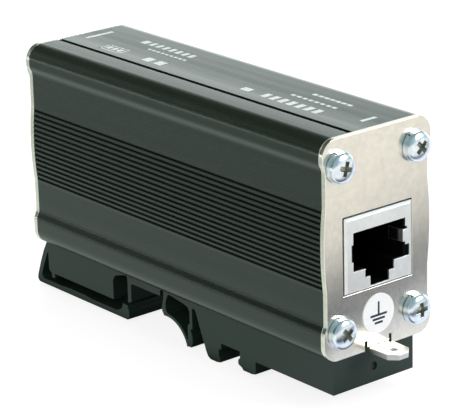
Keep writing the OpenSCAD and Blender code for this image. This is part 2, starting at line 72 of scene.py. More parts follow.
Socket = bpy.types.NodeSocket
Colour = tuple[float, float, float]
Point = tuple[float, float, float]
Rule = Callable[[Socket, Socket], Socket]

WHITE: Colour = (1.0, 1.0, 1.0)
# sockets of a Mix node that carry colours: both inputs and the output
MIX_FIRST, MIX_SECOND, MIX_RESULT = 6, 7, 2
# rays that look for an edge, and the cosines at which its mask begins and is full
EDGE_SAMPLES = 6
EDGE_COSINES = (0.995, 0.85)
# how strongly fine streaks tone a colour, next to broad ones
FINE_TONE = 0.6
# product of cells and noise at which a pit counts as full
FULL_PIT = 0.5
# share of a turned profile at each end that is drawn in to the axis
POLE = 0.001
# distance within which a turned shape's seam and poles are merged
SEAM = 0.002 * MM


class End(Enum):
    """An end of the housing, with the sign of X that its plate faces."""

    FRONT = 1
    REAR = -1


class GrainAxis(Enum):
    """The direction in which a surface was drawn or brushed."""

    LENGTHWISE = (0.012, 1.0, 1.0)
    NONE = (1.0, 1.0, 1.0)


class NodeBuilder:
    """Short calls that add and join the nodes of one shader or geometry tree."""

    def __init__(self, tree: bpy.types.NodeTree) -> None:
        """Keeps the tree that the calls build in.

        Args:
            tree: The node tree of a material, a world or a node group.
        """
        self.tree = tree

    def put(self, socket: Socket, value: object) -> None:
        """Links a socket to another one, or sets its plain value.

        Args:
            socket: The input that receives the value.
            value: An output socket, or a number, colour, vector or data block.
        """
        if isinstance(value, Socket):
            self.tree.links.new(value, socket)
        else:
            socket.default_value = value

    def add(self, kind: str, values: dict | None = None, **settings: object) -> bpy.types.Node:
        """Adds one node.

        Args:
            kind: The node's type name.
            values: Input names or indexes, with what goes into each.
            **settings: Properties of the node itself.

        Returns:
            The new node.
        """
        node = self.tree.nodes.new(kind)
        for name, value in settings.items():
            setattr(node, name, value)
        for key, value in (values or {}).items():
            self.put(node.inputs[key], value)
        return node

    def math(self, operation: str, *values: object) -> Socket:
        """Adds a Math node and returns its output.

        Args:
            operation: The name of the operation.
            *values: Its numbers or sockets, in order.

        Returns:
            The output socket.
        """
        return self.add("ShaderNodeMath", dict(enumerate(values)), operation=operation).outputs[0]

    def span(self, value: object, low: float, high: float, to_low: object, to_high: object,
             smooth: bool = False) -> Socket:
        """Maps a value from one range to another, held at both ends.

        Args:
            value: The socket that is mapped.
            low: The value that gives to_low.
            high: The value that gives to_high.
            to_low: The result at low.
            to_high: The result at high.
            smooth: Whether the passage is a smooth step.

        Returns:
            The output socket.
        """
        kind = "SMOOTHSTEP" if smooth else "LINEAR"
        values = {"Value": value, "From Min": low, "From Max": high, "To Min": to_low, "To Max": to_high}
        return self.add("ShaderNodeMapRange", values, interpolation_type=kind).outputs["Result"]

    def mix(self, share: object, first: object, second: object) -> Socket:
        """Mixes two colours.

        Args:
            share: How much of the second colour shows, from 0 to 1.
            first: The colour or socket at 0.
            second: The colour or socket at 1.

        Returns:
            The mixed colour's socket.
        """
        values = {0: share, MIX_FIRST: rgba(first), MIX_SECOND: rgba(second)}
        return self.add("ShaderNodeMix", values, data_type="RGBA").outputs[MIX_RESULT]

    def group(self, tree: bpy.types.NodeTree, values: dict) -> bpy.types.Node:
        """Places a shared node group, with what goes into its named inputs."""
        return self.add("ShaderNodeGroup", values, node_tree=tree)

    def parts(self, vector: Socket) -> bpy.types.NodeOutputs:
        """Splits a vector into its X, Y and Z sockets."""
        return self.add("ShaderNodeSeparateXYZ", {0: vector}).outputs

    def bump(self, height: Socket, normal: Socket) -> Socket:
        """Raises a surface by a height in metres and gives its normal."""
        values = {"Strength": 1.0, "Distance": 1.0, "Height": height, "Normal": normal}
        return self.add("ShaderNodeBump", values).outputs[0]


def rgba(colour: object) -> object:
    """Gives a colour of three numbers a fourth, and leaves sockets alone."""
    return (*colour, 1.0) if isinstance(colour, tuple) and len(colour) == 3 else colour


def new_group(name: str, inputs: Sequence[tuple[str, str, object]], outputs: Sequence[tuple[str, str]],
              fill: Callable[[NodeBuilder, bpy.types.Node, bpy.types.Node], None]) -> bpy.types.NodeTree:
    """Makes a shader node group with named sockets.

    Args:
        name: The group's name.
        inputs: Each input's name, socket type and default.
        outputs: Each output's name and socket type.
        fill: Builds the nodes between the group's input and output nodes.

    Returns:
        The node group.
    """
    tree = bpy.data.node_groups.new(name, "ShaderNodeTree")
    for label, kind, default in inputs:
        socket = tree.interface.new_socket(label, in_out="INPUT", socket_type=kind)
        if default is not None:
            socket.default_value = default
    for label, kind in outputs:
        tree.interface.new_socket(label, in_out="OUTPUT", socket_type=kind)
    build = NodeBuilder(tree)
    fill(build, build.add("NodeGroupInput"), build.add("NodeGroupOutput"))
    return tree


@dataclass(frozen=True)
class Noise:
    """Settings of one noise texture.

    Attributes:
        detail: How many finer layers it has.
        roughness: How strong the finer layers are.
        distortion: How much it is bent out of shape.
        low: The value that counts as 0.
        high: The value that counts as 1.
    """

    detail: float
    roughness: float = 0.5
    distortion: float = 0.0
    low: float = 0.0
    high: float = 1.0

    def build(self, build: NodeBuilder, vector: Socket, scale: Socket, smooth: bool = False) -> Socket:
        """Adds the texture and stretches its values.

        Args:
            build: The builder of the tree that gets it.
            vector: Where the texture is read.
            scale: Its scale.
            smooth: Whether the passage from low to high is a smooth step.

        Returns:
            The value's socket, from 0 to 1.
        """
        values = {"Vector": vector, "Scale": scale, "Detail": self.detail, "Roughness": self.roughness,
                  "Distortion": self.distortion}
        cloud = build.add("ShaderNodeTexNoise", values).outputs[0]
        return build.span(cloud, self.low, self.high, 0.0, 1.0, smooth)


FINE_STREAKS = Noise(3.0, 0.6, low=0.3, high=0.7)
BROAD_STREAKS = Noise(2.0, low=0.35, high=0.65)
HANDLING = Noise(4.0, 0.55, 0.4, low=0.3, high=0.7)
PITS = Noise(2.0)


def fill_edge(build: NodeBuilder, given: bpy.types.Node, result: bpy.types.Node) -> None:
    """Rounds edges by a radius and finds where they are.

    Args:
        build: The builder of the group's tree.
        given: The group's input node.
        result: The group's output node.
    """
    rounded = build.add("ShaderNodeBevel", {"Radius": given.outputs["Radius"]}, samples=EDGE_SAMPLES)
    flat = build.add("ShaderNodeNewGeometry")
    turn = build.add("ShaderNodeVectorMath", {0: rounded.outputs[0], 1: flat.outputs["Normal"]},
                     operation="DOT_PRODUCT")
    build.put(result.inputs["Mask"], build.span(turn.outputs["Value"], *EDGE_COSINES, 0.0, 1.0))
    build.put(result.inputs["Normal"], rounded.outputs[0])


def fill_grain(build: NodeBuilder, given: bpy.types.Node, result: bpy.types.Node) -> None:
    """Makes drawn or brushed streaks, fine ones over broad ones.

    Args:
        build: The builder of the group's tree.
        given: The group's input node.
        result: The group's output node.
    """
    stretched = build.add("ShaderNodeVectorMath", {0: given.outputs["Vector"], 1: given.outputs["Stretch"]},
                          operation="MULTIPLY").outputs[0]
    for label, noise in (("Fine", FINE_STREAKS), ("Broad", BROAD_STREAKS)):
        build.put(result.inputs[label], noise.build(build, stretched, given.outputs[label]))


def fill_blotch(build: NodeBuilder, given: bpy.types.Node, result: bpy.types.Node) -> None:
    """Makes the soft unevenness that handling and plating leave.

    Args:
        build: The builder of the group's tree.
        given: The group's input node.
        result: The group's output node.
    """
    cloud = HANDLING.build(build, given.outputs["Vector"], given.outputs["Scale"], smooth=True)
    build.put(result.inputs["Value"], cloud)


def fill_sparks(build: NodeBuilder, given: bpy.types.Node, result: bpy.types.Node) -> None:
    """Makes the fine pitted texture of an eroded mould.

    Args:
        build: The builder of the group's tree.
        given: The group's input node.
        result: The group's output node.
    """
    where, scale = given.outputs["Vector"], given.outputs["Scale"]
    cells = build.add("ShaderNodeTexVoronoi", {"Vector": where, "Scale": scale}).outputs["Distance"]
    both = build.math("MULTIPLY", cells, PITS.build(build, where, scale))
    build.put(result.inputs["Height"], build.span(both, 0.0, FULL_PIT, 0.0, 1.0))


@dataclass(frozen=True)
class SharedEffects:
    """The node groups that more than one finish uses."""

    edge: bpy.types.NodeTree
    grain: bpy.types.NodeTree
    blotch: bpy.types.NodeTree
    sparks: bpy.types.NodeTree

    @staticmethod
    def make() -> "SharedEffects":
        """Builds every shared group once.

        Returns:
            The groups.
        """
        number, vector = "NodeSocketFloat", "NodeSocketVector"
        return SharedEffects(
            edge=new_group("edge_rounding", [("Radius", number, 0.0002)],
                           [("Mask", number), ("Normal", vector)], fill_edge),
            grain=new_group("drawn_grain", [("Vector", vector, None), ("Stretch", vector, None),
                                            ("Fine", number, 9000.0), ("Broad", number, 900.0)],
                            [("Fine", number), ("Broad", number)], fill_grain),
            blotch=new_group("handling_blotch", [("Vector", vector, None), ("Scale", number, 60.0)],
                             [("Value", number)], fill_blotch),
            sparks=new_group("eroded_texture", [("Vector", vector, None), ("Scale", number, 4000.0)],
                             [("Height", number)], fill_sparks),
        )


@dataclass(frozen=True)
class Finish:
    """One surface finish, with the values that all finishes share.

    Attributes:
        name: The material's name.
        colour: Base colour, as linear light.
        roughness: The plain roughness that variation is laid over.
        metallic: 1 for bare or plated metal, 0 for the rest.
        edge_radius: Radius by which edges look rounded, in metres.
        edge_colour: Colour laid on the edges: a painted highlight where they would catch light, except on the
            solder mask, where it is the bare board's own edge.
        edge_share: How much of the edge colour shows there.
        grain: Direction of the drawn or brushed streaks.
        grain_fine: Scale of the fine streaks.
        grain_broad: Scale of the broad streaks.
        grain_depth: Height of the streaks as bump, in metres.
        grain_tone: How much the streaks lighten and darken the colour.
        grain_rough: How much the fine streaks change the roughness.
        broad_rough: How much the broad streaks change the roughness.
        blotch_scale: Scale of the soft unevenness.
        blotch_tone: How much the unevenness changes the colour.
        spark_scale: Scale of the pitted texture, or 0 for none.
        spark_depth: Height of the pitted texture as bump, in metres.
        coat: Weight of a clear coat.
        coat_roughness: Roughness of that coat.
        specular: Specular level of the surface.
        specular_tint: Colour of its gloss.
    """

    name: str
    colour: Colour
    roughness: float
    metallic: float = 0.0
    edge_radius: float = 0.12 * MM
    edge_colour: Colour = (0.5, 0.5, 0.5)
    edge_share: float = 0.0
    grain: GrainAxis = GrainAxis.NONE
    grain_fine: float = 9000.0
    grain_broad: float = 900.0
    grain_depth: float = 0.0
    grain_tone: float = 0.0
    grain_rough: float = 0.0
    broad_rough: float = 0.0
    blotch_scale: float = 60.0
    blotch_tone: float = 0.08
    spark_scale: float = 0.0
    spark_depth: float = 0.0
    coat: float = 0.0
    coat_roughness: float = 0.2
    specular: float = 0.5
    specular_tint: Colour = WHITE

    def build(self, effects: SharedEffects) -> bpy.types.Material:
        """Makes the finish's material.

        Args:
            effects: The shared node groups.

        Returns:
            The material.
        """
        material = bpy.data.materials.new(self.name)
        material.use_nodes = True
        material.node_tree.nodes.clear()
        build = NodeBuilder(material.node_tree)
        where = build.add("ShaderNodeTexCoord").outputs["Object"]
        edge = build.group(effects.edge, {"Radius": self.edge_radius})
        streaks = build.group(effects.grain, {"Vector": where, "Stretch": self.grain.value,
                                              "Fine": self.grain_fine, "Broad": self.grain_broad})
        blotch = build.group(effects.blotch, {"Vector": where, "Scale": self.blotch_scale})
        colour = self._toned(build, self.tint(build, where), blotch.outputs["Value"], self.blotch_tone)
        colour = self._toned(build, colour, streaks.outputs["Broad"], self.grain_tone)
        colour = self._toned(build, colour, streaks.outputs["Fine"], self.grain_tone*FINE_TONE)
        # edges get a painted highlight, except on the solder mask, whose edge colour is the bare board's own
        if self.edge_share:
            edge_tint_share = build.math("MULTIPLY", edge.outputs["Mask"], self.edge_share)
            colour = build.mix(edge_tint_share, colour, self.edge_colour)
        shader = build.add("ShaderNodeBsdfPrincipled", {
            "Base Color": colour, "Roughness": self._rough(build, streaks), "Metallic": self.metallic,
            "Normal": self._relief(build, effects, where, streaks, edge.outputs["Normal"]),
            "Specular IOR Level": self.specular, "Specular Tint": rgba(self.specular_tint),
            "Coat Weight": self.coat, "Coat Roughness": self.coat_roughness})
        build.add("ShaderNodeOutputMaterial", {"Surface": shader.outputs[0]})
        return material

    def tint(self, build: NodeBuilder, where: Socket) -> object:
        """Gives the base colour before streaks and wear.

        Args:
            build: The builder of the material's tree.
            where: Object coordinates.

        Returns:
            A plain colour, or the socket of one.
        """
        return self.colour

    def _rough(self, build: NodeBuilder, streaks: bpy.types.Node) -> object:
        """Lays fine and broad streaks over the roughness.

        Args:
            build: The builder of the material's tree.
            streaks: The grain group's node.

        Returns:
            The plain roughness, or the socket of the varied one.
        """
        rough = self.roughness
        for label, share in (("Fine", self.grain_rough), ("Broad", self.broad_rough)):
            if share:
                change = build.span(streaks.outputs[label], 0.0, 1.0, -share, share)
                rough = build.math("ADD", rough, change)
        return rough

    def _relief(self, build: NodeBuilder, effects: SharedEffects, where: Socket,
                streaks: bpy.types.Node, rounded: Socket) -> Socket:
        """Lays streaks and pits over the rounded edges.

        Args:
            build: The builder of the material's tree.
            effects: The shared node groups.
            where: Object coordinates.
            streaks: The grain group's node.
            rounded: The normal of the rounded edges.

        Returns:
            The normal's socket.
        """
        heights = []
        if self.grain_depth:
            heights.append(build.math("MULTIPLY", streaks.outputs["Fine"], self.grain_depth))
        if self.spark_scale:
            sparks = build.group(effects.sparks, {"Vector": where, "Scale": self.spark_scale})
            heights.append(build.math("MULTIPLY", sparks.outputs["Height"], self.spark_depth))
        if not heights:
            return rounded
        height = heights[0] if len(heights) == 1 else build.math("ADD", *heights)
        return build.bump(height, rounded)

    @staticmethod
    def _toned(build: NodeBuilder, colour: object, mask: Socket, tone: float) -> object:
        """Lightens and darkens a colour by a mask.

        Args:
            build: The builder of the material's tree.
            colour: The plain colour, or its socket.
            mask: What goes from 0, darkest, to 1, lightest.
            tone: The share by which the colour changes either way.

        Returns:
            The colour that came in where tone is 0, or else the changed one's socket.
        """
        if not tone:
            return colour
        factor = build.span(mask, 0.0, 1.0, 1.0 - tone, 1.0 + tone)
        scaled = build.add("ShaderNodeVectorMath", {0: colour, "Scale": factor}, operation="SCALE")
        return scaled.outputs[0]


@dataclass(frozen=True)
class BoardFinish(Finish):
    """Solder mask over copper tracks that run along the board.

    Attributes:
        track_colour: Colour of the mask where copper lies under it.
        track_spacing: Distance between the tracks, in metres.
        bare_share: Share of that distance without copper.
    """

    track_colour: Colour = (0.03, 0.2, 0.07)
    track_spacing: float = 1.0 * MM
    bare_share: float = 0.55

    def tint(self, build: NodeBuilder, where: Socket) -> Socket:
        """Draws the tracks as lighter stripes.

        Args:
            build: The builder of the material's tree.
            where: Object coordinates.

        Returns:
            The colour's socket.
        """
        across = build.parts(where)["Y"]
        phase = build.math("FRACT", build.math("DIVIDE", across, self.track_spacing))
        stripe = build.math("GREATER_THAN", phase, self.bare_share)
        return build.mix(stripe, self.colour, self.track_colour)


@dataclass(frozen=True)
class ReachFinish(Finish):
    """A metal that looks different past some place along X, such as a bent tab or a socket's inside.

    Attributes:
        both_ends: Whether places count from the part's middle towards both ends.
        middle: The part's middle along X, in metres.
        reach: Places along X over which the look changes, in metres.
        reach_colour: Colour past them; deep inside a socket it is painted shade.
        reach_rough: How much rougher it is past them.
    """

    both_ends: bool = False
    middle: float = -1.25 * MM
    reach: tuple[float, float] = (0.0, 1.0)
    reach_colour: Colour = (0.5, 0.5, 0.5)
    reach_rough: float = 0.0

    def tint(self, build: NodeBuilder, where: Socket) -> Socket:
        """Passes from one colour to the other along X."""
        return build.mix(self._share(build, where), self.colour, self.reach_colour)

    def _rough(self, build: NodeBuilder, streaks: bpy.types.Node) -> Socket:
        """Adds the roughness that the place brings.

        Args:
            build: The builder of the material's tree.
            streaks: The grain group's node.

        Returns:
            The roughness's socket.
        """
        where = build.add("ShaderNodeTexCoord").outputs["Object"]
        more = build.math("MULTIPLY", self._share(build, where), self.reach_rough)
        return build.math("ADD", super()._rough(build, streaks), more)

    def _share(self, build: NodeBuilder, where: Socket) -> Socket:
        """Works out how far past the change a place lies.

        Args:
            build: The builder of the material's tree.
            where: Object coordinates.

        Returns:
            The share's socket, from 0 to 1.
        """
        place = build.parts(where)["X"]
        if self.both_ends:
            place = build.math("ABSOLUTE", build.math("SUBTRACT", place, self.middle))
        return build.span(place, *self.reach, 0.0, 1.0, smooth=True)


@dataclass(frozen=True)
class ExtrudedFinish(Finish):
    """A drawn face, with soft waves along the die's direction.

    Attributes:
        wave_pitch: Distance between the waves, in metres.
        wave_place: Where along Y a wave leans furthest towards +Y, in metres.
        wave_slope: Steepest slope of the waves.
        wave_drift: How far the waves wander, in metres.
    """

    wave_pitch: float = 17.0 * MM
    wave_place: float = -2.6 * MM
    wave_slope: float = 0.029
    wave_drift: float = 1.2 * MM

    def _relief(self, build: NodeBuilder, effects: SharedEffects, where: Socket,
                streaks: bpy.types.Node, rounded: Socket) -> Socket:
        """Lays the waves under the streaks.

        Args:
            build: The builder of the material's tree.
            effects: The shared node groups.
            where: Object coordinates.
            streaks: The grain group's node.
            rounded: The normal of the rounded edges.

        Returns:
            The normal's socket.
        """
        across = build.parts(where)["Y"]
        drift = build.span(streaks.outputs["Broad"], 0.0, 1.0, -self.wave_drift/2, self.wave_drift/2)
        place = build.math("SUBTRACT", build.math("ADD", across, drift), self.wave_place)
        wave = build.math("SINE", build.math("MULTIPLY", place, math.tau/self.wave_pitch))
        height = build.math("MULTIPLY", wave, -self.wave_slope*self.wave_pitch/math.tau)
        return super()._relief(build, effects, where, streaks, build.bump(height, rounded))


# edge_colour with edge_share is a painted highlight on the edges of every finish here but the solder mask
FINISHES = (
    ExtrudedFinish("anodised_black", (0.010, 0.016, 0.011), 0.25, edge_radius=0.1*MM,
                   edge_colour=(0.2, 0.21, 0.2), edge_share=0.1, grain=GrainAxis.LENGTHWISE,
                   grain_broad=170.0, grain_depth=0.001*MM, grain_tone=0.15, grain_rough=0.04,
                   broad_rough=0.07, blotch_scale=70.0, blotch_tone=0.06, specular=0.62,
                   specular_tint=(0.84, 1.0, 0.89)),
    ReachFinish("satin_nickel", (0.85, 0.81, 0.70), 0.24, 1.0, edge_radius=0.2*MM,
                edge_colour=(1.0, 0.98, 0.96), edge_share=0.75, grain_fine=5000.0, grain_depth=0.0008*MM,
                grain_tone=0.03, grain_rough=0.03, blotch_scale=260.0, blotch_tone=0.03,
                spark_scale=3800.0, spark_depth=0.001*MM, reach=(43.2*MM, 44.6*MM),
                reach_colour=(0.80, 0.76, 0.72), reach_rough=0.2),
    # deep inside each socket the shield turns nearly black: painted shade
    ReachFinish("bright_nickel", (0.90, 0.91, 0.87), 0.40, 1.0, edge_radius=0.12*MM,
                edge_colour=(0.97, 0.97, 0.94), edge_share=0.6, grain_fine=5000.0,
                grain_depth=0.0003*MM, grain_tone=0.02, grain_rough=0.03, blotch_scale=220.0,
                blotch_tone=0.05, both_ends=True, reach=(44.1*MM, 43.0*MM),
                reach_colour=(0.015, 0.015, 0.014), reach_rough=0.3),
    Finish("bright_zinc", (0.83, 0.90, 0.94), 0.23, 1.0, edge_radius=0.08*MM, edge_colour=(0.9, 0.96, 1.0),
           edge_share=0.2, grain_tone=0.02, blotch_scale=900.0, blotch_tone=0.06),
    # zinc in the cross recess: rougher, and its darker olive colour is painted shade
    Finish("dull_zinc", (0.42, 0.43, 0.36), 0.5, 1.0, edge_radius=0.05*MM, grain_tone=0.1,
           blotch_scale=1400.0, blotch_tone=0.2),
    Finish("moulded_black", (0.0105, 0.022, 0.015), 0.5, edge_radius=0.15*MM, edge_colour=(0.09, 0.11, 0.10),
           edge_share=0.3, blotch_scale=90.0, blotch_tone=0.08, spark_scale=5200.0, spark_depth=0.004*MM,
           specular_tint=(0.9, 1.0, 0.95)),
    # the socket's insulator: black plastic, darkened further as painted shade of the socket's inside
    Finish("socket_black", (0.0015, 0.0015, 0.0015), 0.75, blotch_scale=200.0, blotch_tone=0.1,
           spark_scale=6000.0, spark_depth=0.002*MM, specular=0.06),
    Finish("gold_plate", (1.0, 0.72, 0.33), 0.25, 1.0, edge_radius=0.05*MM, blotch_scale=600.0,
           blotch_tone=0.06),
    Finish("label_film", (0.955, 0.97, 0.98), 0.45, edge_radius=0.05*MM, blotch_scale=300.0,
           blotch_tone=0.015, spark_scale=3000.0, spark_depth=0.001*MM),
    Finish("label_ink", (0.012, 0.016, 0.035), 0.5, edge_radius=0.02*MM, blotch_scale=900.0,
           blotch_tone=0.1),
    Finish("white_print", (0.62, 0.68, 0.68), 0.5, edge_radius=0.01*MM, blotch_scale=2500.0,
           blotch_tone=0.12),
    BoardFinish("solder_mask", (0.015, 0.11, 0.04), 0.3, edge_colour=(0.55, 0.5, 0.3), edge_share=0.5,
                coat=0.4, coat_roughness=0.15),
    Finish("brass_strip", (0.82, 0.62, 0.27), 0.3, 1.0, grain=GrainAxis.LENGTHWISE, grain_depth=0.0005*MM,
           grain_tone=0.05, grain_rough=0.05, blotch_tone=0.1),
    Finish("white_ceramic", (0.86, 0.83, 0.76), 0.35, edge_radius=0.1*MM, blotch_scale=400.0,
           blotch_tone=0.04, coat=0.3),
    Finish("tinned_metal", (0.78, 0.78, 0.77), 0.34, 1.0, edge_radius=0.1*MM, blotch_scale=700.0,
           blotch_tone=0.1),
    Finish("moulded_chip", (0.03, 0.03, 0.032), 0.5, edge_radius=0.1*MM, spark_scale=7000.0,
           spark_depth=0.003*MM),
    Finish("coated_resistor", (0.02, 0.02, 0.022), 0.25, edge_radius=0.1*MM, coat=0.4, blotch_scale=500.0),
)


class Materials:
    """Every finish of the part, built once and handed out by name."""

    def __init__(self) -> None:
        """Builds the shared effects and all finishes."""
        effects = SharedEffects.make()
        self._made = {finish.name: finish.build(effects) for finish in FINISHES}

    def __getitem__(self, name: str) -> bpy.types.Material:
        """Gives the material of that name."""
        return self._made[name]

    def dress(self, nodes: Iterable[str], name: str) -> None:
        """Puts a finish on CAD nodes.

        Args:
            nodes: Names of the nodes.
            name: Name of the finish.
        """
        for node in nodes:
            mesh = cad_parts[node].data
            if not mesh.materials:
                mesh.materials.append(self[name])
            for index in range(len(mesh.materials)):
                mesh.materials[index] = self[name]
            LOG.info("%s has the finish %s", node, name)


class ShapeTree(NodeBuilder):
    """A Geometry Nodes tree with named inputs, whose result becomes a plain mesh."""

    def __init__(self, name: str, sizes: dict[str, float]) -> None:
        """Makes the tree with its inputs.

        Args:
            name: The tree's name.
            sizes: Each number that the tree takes, by its input's name.
        """
        super().__init__(bpy.data.node_groups.new(name, "GeometryNodeTree"))
        self.sizes = sizes
        face = self.tree.interface
        face.new_socket("Geometry", in_out="OUTPUT", socket_type="NodeSocketGeometry")
        face.new_socket("Geometry", in_out="INPUT", socket_type="NodeSocketGeometry")
        for label in ("Finish", "Inner Finish"):
            face.new_socket(label, in_out="INPUT", socket_type="NodeSocketMaterial")
        for label in sizes:
            face.new_socket(label, in_out="INPUT", socket_type="NodeSocketFloat")
        self.given = self.add("NodeGroupInput").outputs

    def vector(self, x: object, y: object, z: object) -> Socket:
        """Joins three numbers or sockets into a vector."""
        return self.add("ShaderNodeCombineXYZ", {0: x, 1: y, 2: z}).outputs[0]

    def turned(self, around: int, along: int, radius: Rule, height: Rule) -> Socket:
        """Turns a profile round Z, as a lathe does, and closes its seam and poles.

        Args:
            around: How many faces go round.
            along: How many faces go along the profile.
            radius: Gives the radius for two sockets, the share along and the share around.
            height: Gives the height for the same two.

        Returns:
            The mesh socket.
        """
        grid = self.add("GeometryNodeMeshGrid", {"Size X": 1.0, "Size Y": 1.0, "Vertices X": along + 1,
                                                 "Vertices Y": around + 1})
        parts = self.parts(self.add("GeometryNodeInputPosition").outputs[0])
        way, turn = (self.math("ADD", parts[axis], 0.5) for axis in ("X", "Y"))
        angle = self.math("MULTIPLY", turn, math.tau)
        reach = radius(way, turn)
        place = self.vector(self.math("MULTIPLY", reach, self.math("COSINE", angle)),
                            self.math("MULTIPLY", reach, self.math("SINE", angle)), height(way, turn))
        shaped = self.add("GeometryNodeSetPosition", {"Geometry": grid.outputs["Mesh"], "Position": place})
        merged = self.add("GeometryNodeMergeByDistance", {"Geometry": shaped.outputs[0], "Distance": SEAM})
        return merged.outputs[0]

    def spread(self, shape: Socket, sharp: float) -> None:
        """Puts the shape on every point of the input, and ends the tree.

        Args:
            shape: The mesh socket of one copy.
            sharp: Angle between faces past which an edge stays sharp, in degrees.
        """
        bend = self.add("GeometryNodeInputMeshEdgeAngle").outputs[0]
        hard = self.add("FunctionNodeCompare", {0: bend, 1: math.radians(sharp)}, operation="GREATER_THAN")
        smooth = self.add("GeometryNodeSetShadeSmooth", {0: shape, "Shade Smooth": True}, domain="FACE")
        creased = self.add("GeometryNodeSetShadeSmooth", {0: smooth.outputs[0], "Selection": hard.outputs[0],
                                                          "Shade Smooth": False}, domain="EDGE")
        angles = self.add("GeometryNodeInputNamedAttribute", {"Name": "turn"}, data_type="FLOAT_VECTOR")
        turn = self.add("FunctionNodeEulerToRotation", {0: angles.outputs[0]})
        copies = self.add("GeometryNodeInstanceOnPoints", {
            "Points": self.given["Geometry"], "Instance": creased.outputs[0], "Rotation": turn.outputs[0]})
        real = self.add("GeometryNodeRealizeInstances", {0: copies.outputs[0]})
        inner = self.add("GeometryNodeMaterialSelection", {"Material": self.given["Inner Finish"]})
        outer = self.add("FunctionNodeBooleanMath", {0: inner.outputs[0]}, operation="NOT")
        dressed = self.add("GeometryNodeSetMaterial", {0: real.outputs[0], "Selection": outer.outputs[0],
                                                       "Material": self.given["Finish"]})
        self.add("NodeGroupOutput", {0: dressed.outputs[0]})

    def piece(self, seats: Sequence[tuple[Vector, Euler]], finishes: Sequence[bpy.types.Material], name: str,
              slot: str, replaced: Sequence[str] = ()) -> None:
        """Runs the tree on a set of seats and keeps the result as one piece.

        Args:
            seats: Each copy's place and turn, in the part's frame.
            finishes: The finish of the copies, and that of what is cut into them.
            name: The piece's name.
            slot: Not used.
            replaced: CAD nodes that the piece stands for.
        """
        points = bpy.data.meshes.new(name + "_seats")
        points.from_pydata([tuple(place) for place, _ in seats], [], [])
        turns = points.attributes.new("turn", "FLOAT_VECTOR", "POINT")
        for entry, (_, turn) in zip(turns.data, seats):
            entry.vector = tuple(turn)
        holder = bpy.data.objects.new(name + "_seats", points)
        bpy.context.scene.collection.objects.link(holder)
        modifier = holder.modifiers.new(name, "NODES")
        modifier.node_group = self.tree
        values = {"Finish": finishes[0], "Inner Finish": finishes[-1], **self.sizes}
        for item in self.tree.interface.items_tree:
            if item.in_out == "INPUT" and item.name in values:
                modifier[item.identifier] = values[item.name]
        graph = bpy.context.evaluated_depsgraph_get()
        data = bpy.data.meshes.new_from_object(holder.evaluated_get(graph), depsgraph=graph)
        data.name = name
        holder.modifiers.remove(modifier)
        bpy.data.objects.remove(holder)
        bpy.data.meshes.remove(points)
        place_piece(bpy.data.objects.new(name, data), replaced)


def mesh_piece(name: str, mesh: bmesh.types.BMesh, material: bpy.types.Material) -> None:
    """Turns a finished bmesh into a piece of the part.

    Args:
        name: The piece's name.
        mesh: Its shape, in metres in the part's frame.
        material: Its finish.
    """
    data = bpy.data.meshes.new(name)
    mesh.to_mesh(data)
    mesh.free()
    data.materials.append(material)
    place_piece(bpy.data.objects.new(name, data))


def place_piece(piece: bpy.types.Object, replaced: Sequence[str] = ()) -> None:
    """Links a piece to the scene and tells the frame about it.

    Args:
        piece: The object, at the origin.
        replaced: CAD nodes that the piece stands for.
    """
    bpy.context.scene.collection.objects.link(piece)
    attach(piece, BODY)
    if replaced:
        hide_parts(*replaced)
    LOG.info("%s has %d faces", piece.name, len(piece.data.polygons))


def add_bar(mesh: bmesh.types.BMesh, low: Vector, high: Vector) -> None:
    """Adds a closed bar between two corners.

    Args:
        mesh: The mesh that receives it.
        low: The lowest corner.
        high: The highest corner.
    """
    made = bmesh.ops.create_cube(mesh, size=1.0)["verts"]
    size = high - low
    bmesh.ops.scale(mesh, vec=size, verts=made)
    bmesh.ops.translate(mesh, vec=(low + high)/2, verts=made)


@dataclass
class PrintMark:
    """One plain mark of the print on the top face.

    Attributes:
        x: Its rear end, in millimetres.
        y: Its right side, in millimetres.
        length: Its length along X, in millimetres.
        width: Its width along Y, in millimetres.
        count: How many such marks stand in a row along X.
        step: Distance between the marks of the row, in millimetres.
    """

    x: float
    y: float
    length: float
    width: float
    count: int = 1
    step: float = 0.0


@dataclass
class Housing:
    """The extruded tube with its print.

    Attributes:
        ink_height: How far the print stands on the face, in metres.
        marks: The plain marks that stand where a real part has its lettering.
    """

    ink_height: float = 0.02*MM
    marks: Sequence[PrintMark] = field(default_factory=lambda: (
        PrintMark(-41.6, -0.9, 0.9, 6.6),
        PrintMark(-33.6, -3.4, 6.0, 0.25),
        PrintMark(-33.6, -0.65, 6.0, 0.25),
        PrintMark(-33.6, -3.4, 0.3, 3.0),
        PrintMark(-27.7, -3.4, 0.3, 3.0),
        PrintMark(-32.6, -2.6, 1.0, 1.5, 3, 1.6),
        PrintMark(-31.0, 4.6, 1.7, 1.9),
        PrintMark(-28.4, 4.7, 1.1, 1.8, 7, 2.0),
        PrintMark(-26.0, 2.5, 0.9, 0.7, 9, 1.35),
        PrintMark(-21.0, -2.9, 2.2, 2.2, 2, 3.6),
        PrintMark(7.6, -2.1, 2.4, 1.7),
        PrintMark(13.6, -2.3, 1.35, 2.2, 7, 2.35),
        PrintMark(17.0, 2.1, 1.1, 0.8, 8, 1.6),
        PrintMark(19.6, 5.1, 1.2, 0.8, 7, 1.55),
        PrintMark(37.6, 0.4, 0.9, 3.6),
    ))

    def build(self, materials: Materials) -> None:
        """Dresses the tube and lays the print on its top face.

        Args:
            materials: The part's finishes.
        """
        materials.dress(["housing"], "anodised_black")
        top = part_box("housing")[1].z
        mesh = bmesh.new()
        for mark in self.marks:
            for index in range(mark.count):
                x = (mark.x + index*mark.step)*MM
                low = Vector((x, mark.y*MM, top))
                high = Vector((x + mark.length*MM, (mark.y + mark.width)*MM, top + self.ink_height))
                add_bar(mesh, low, high)
        mesh_piece("top_print", mesh, materials["white_print"])


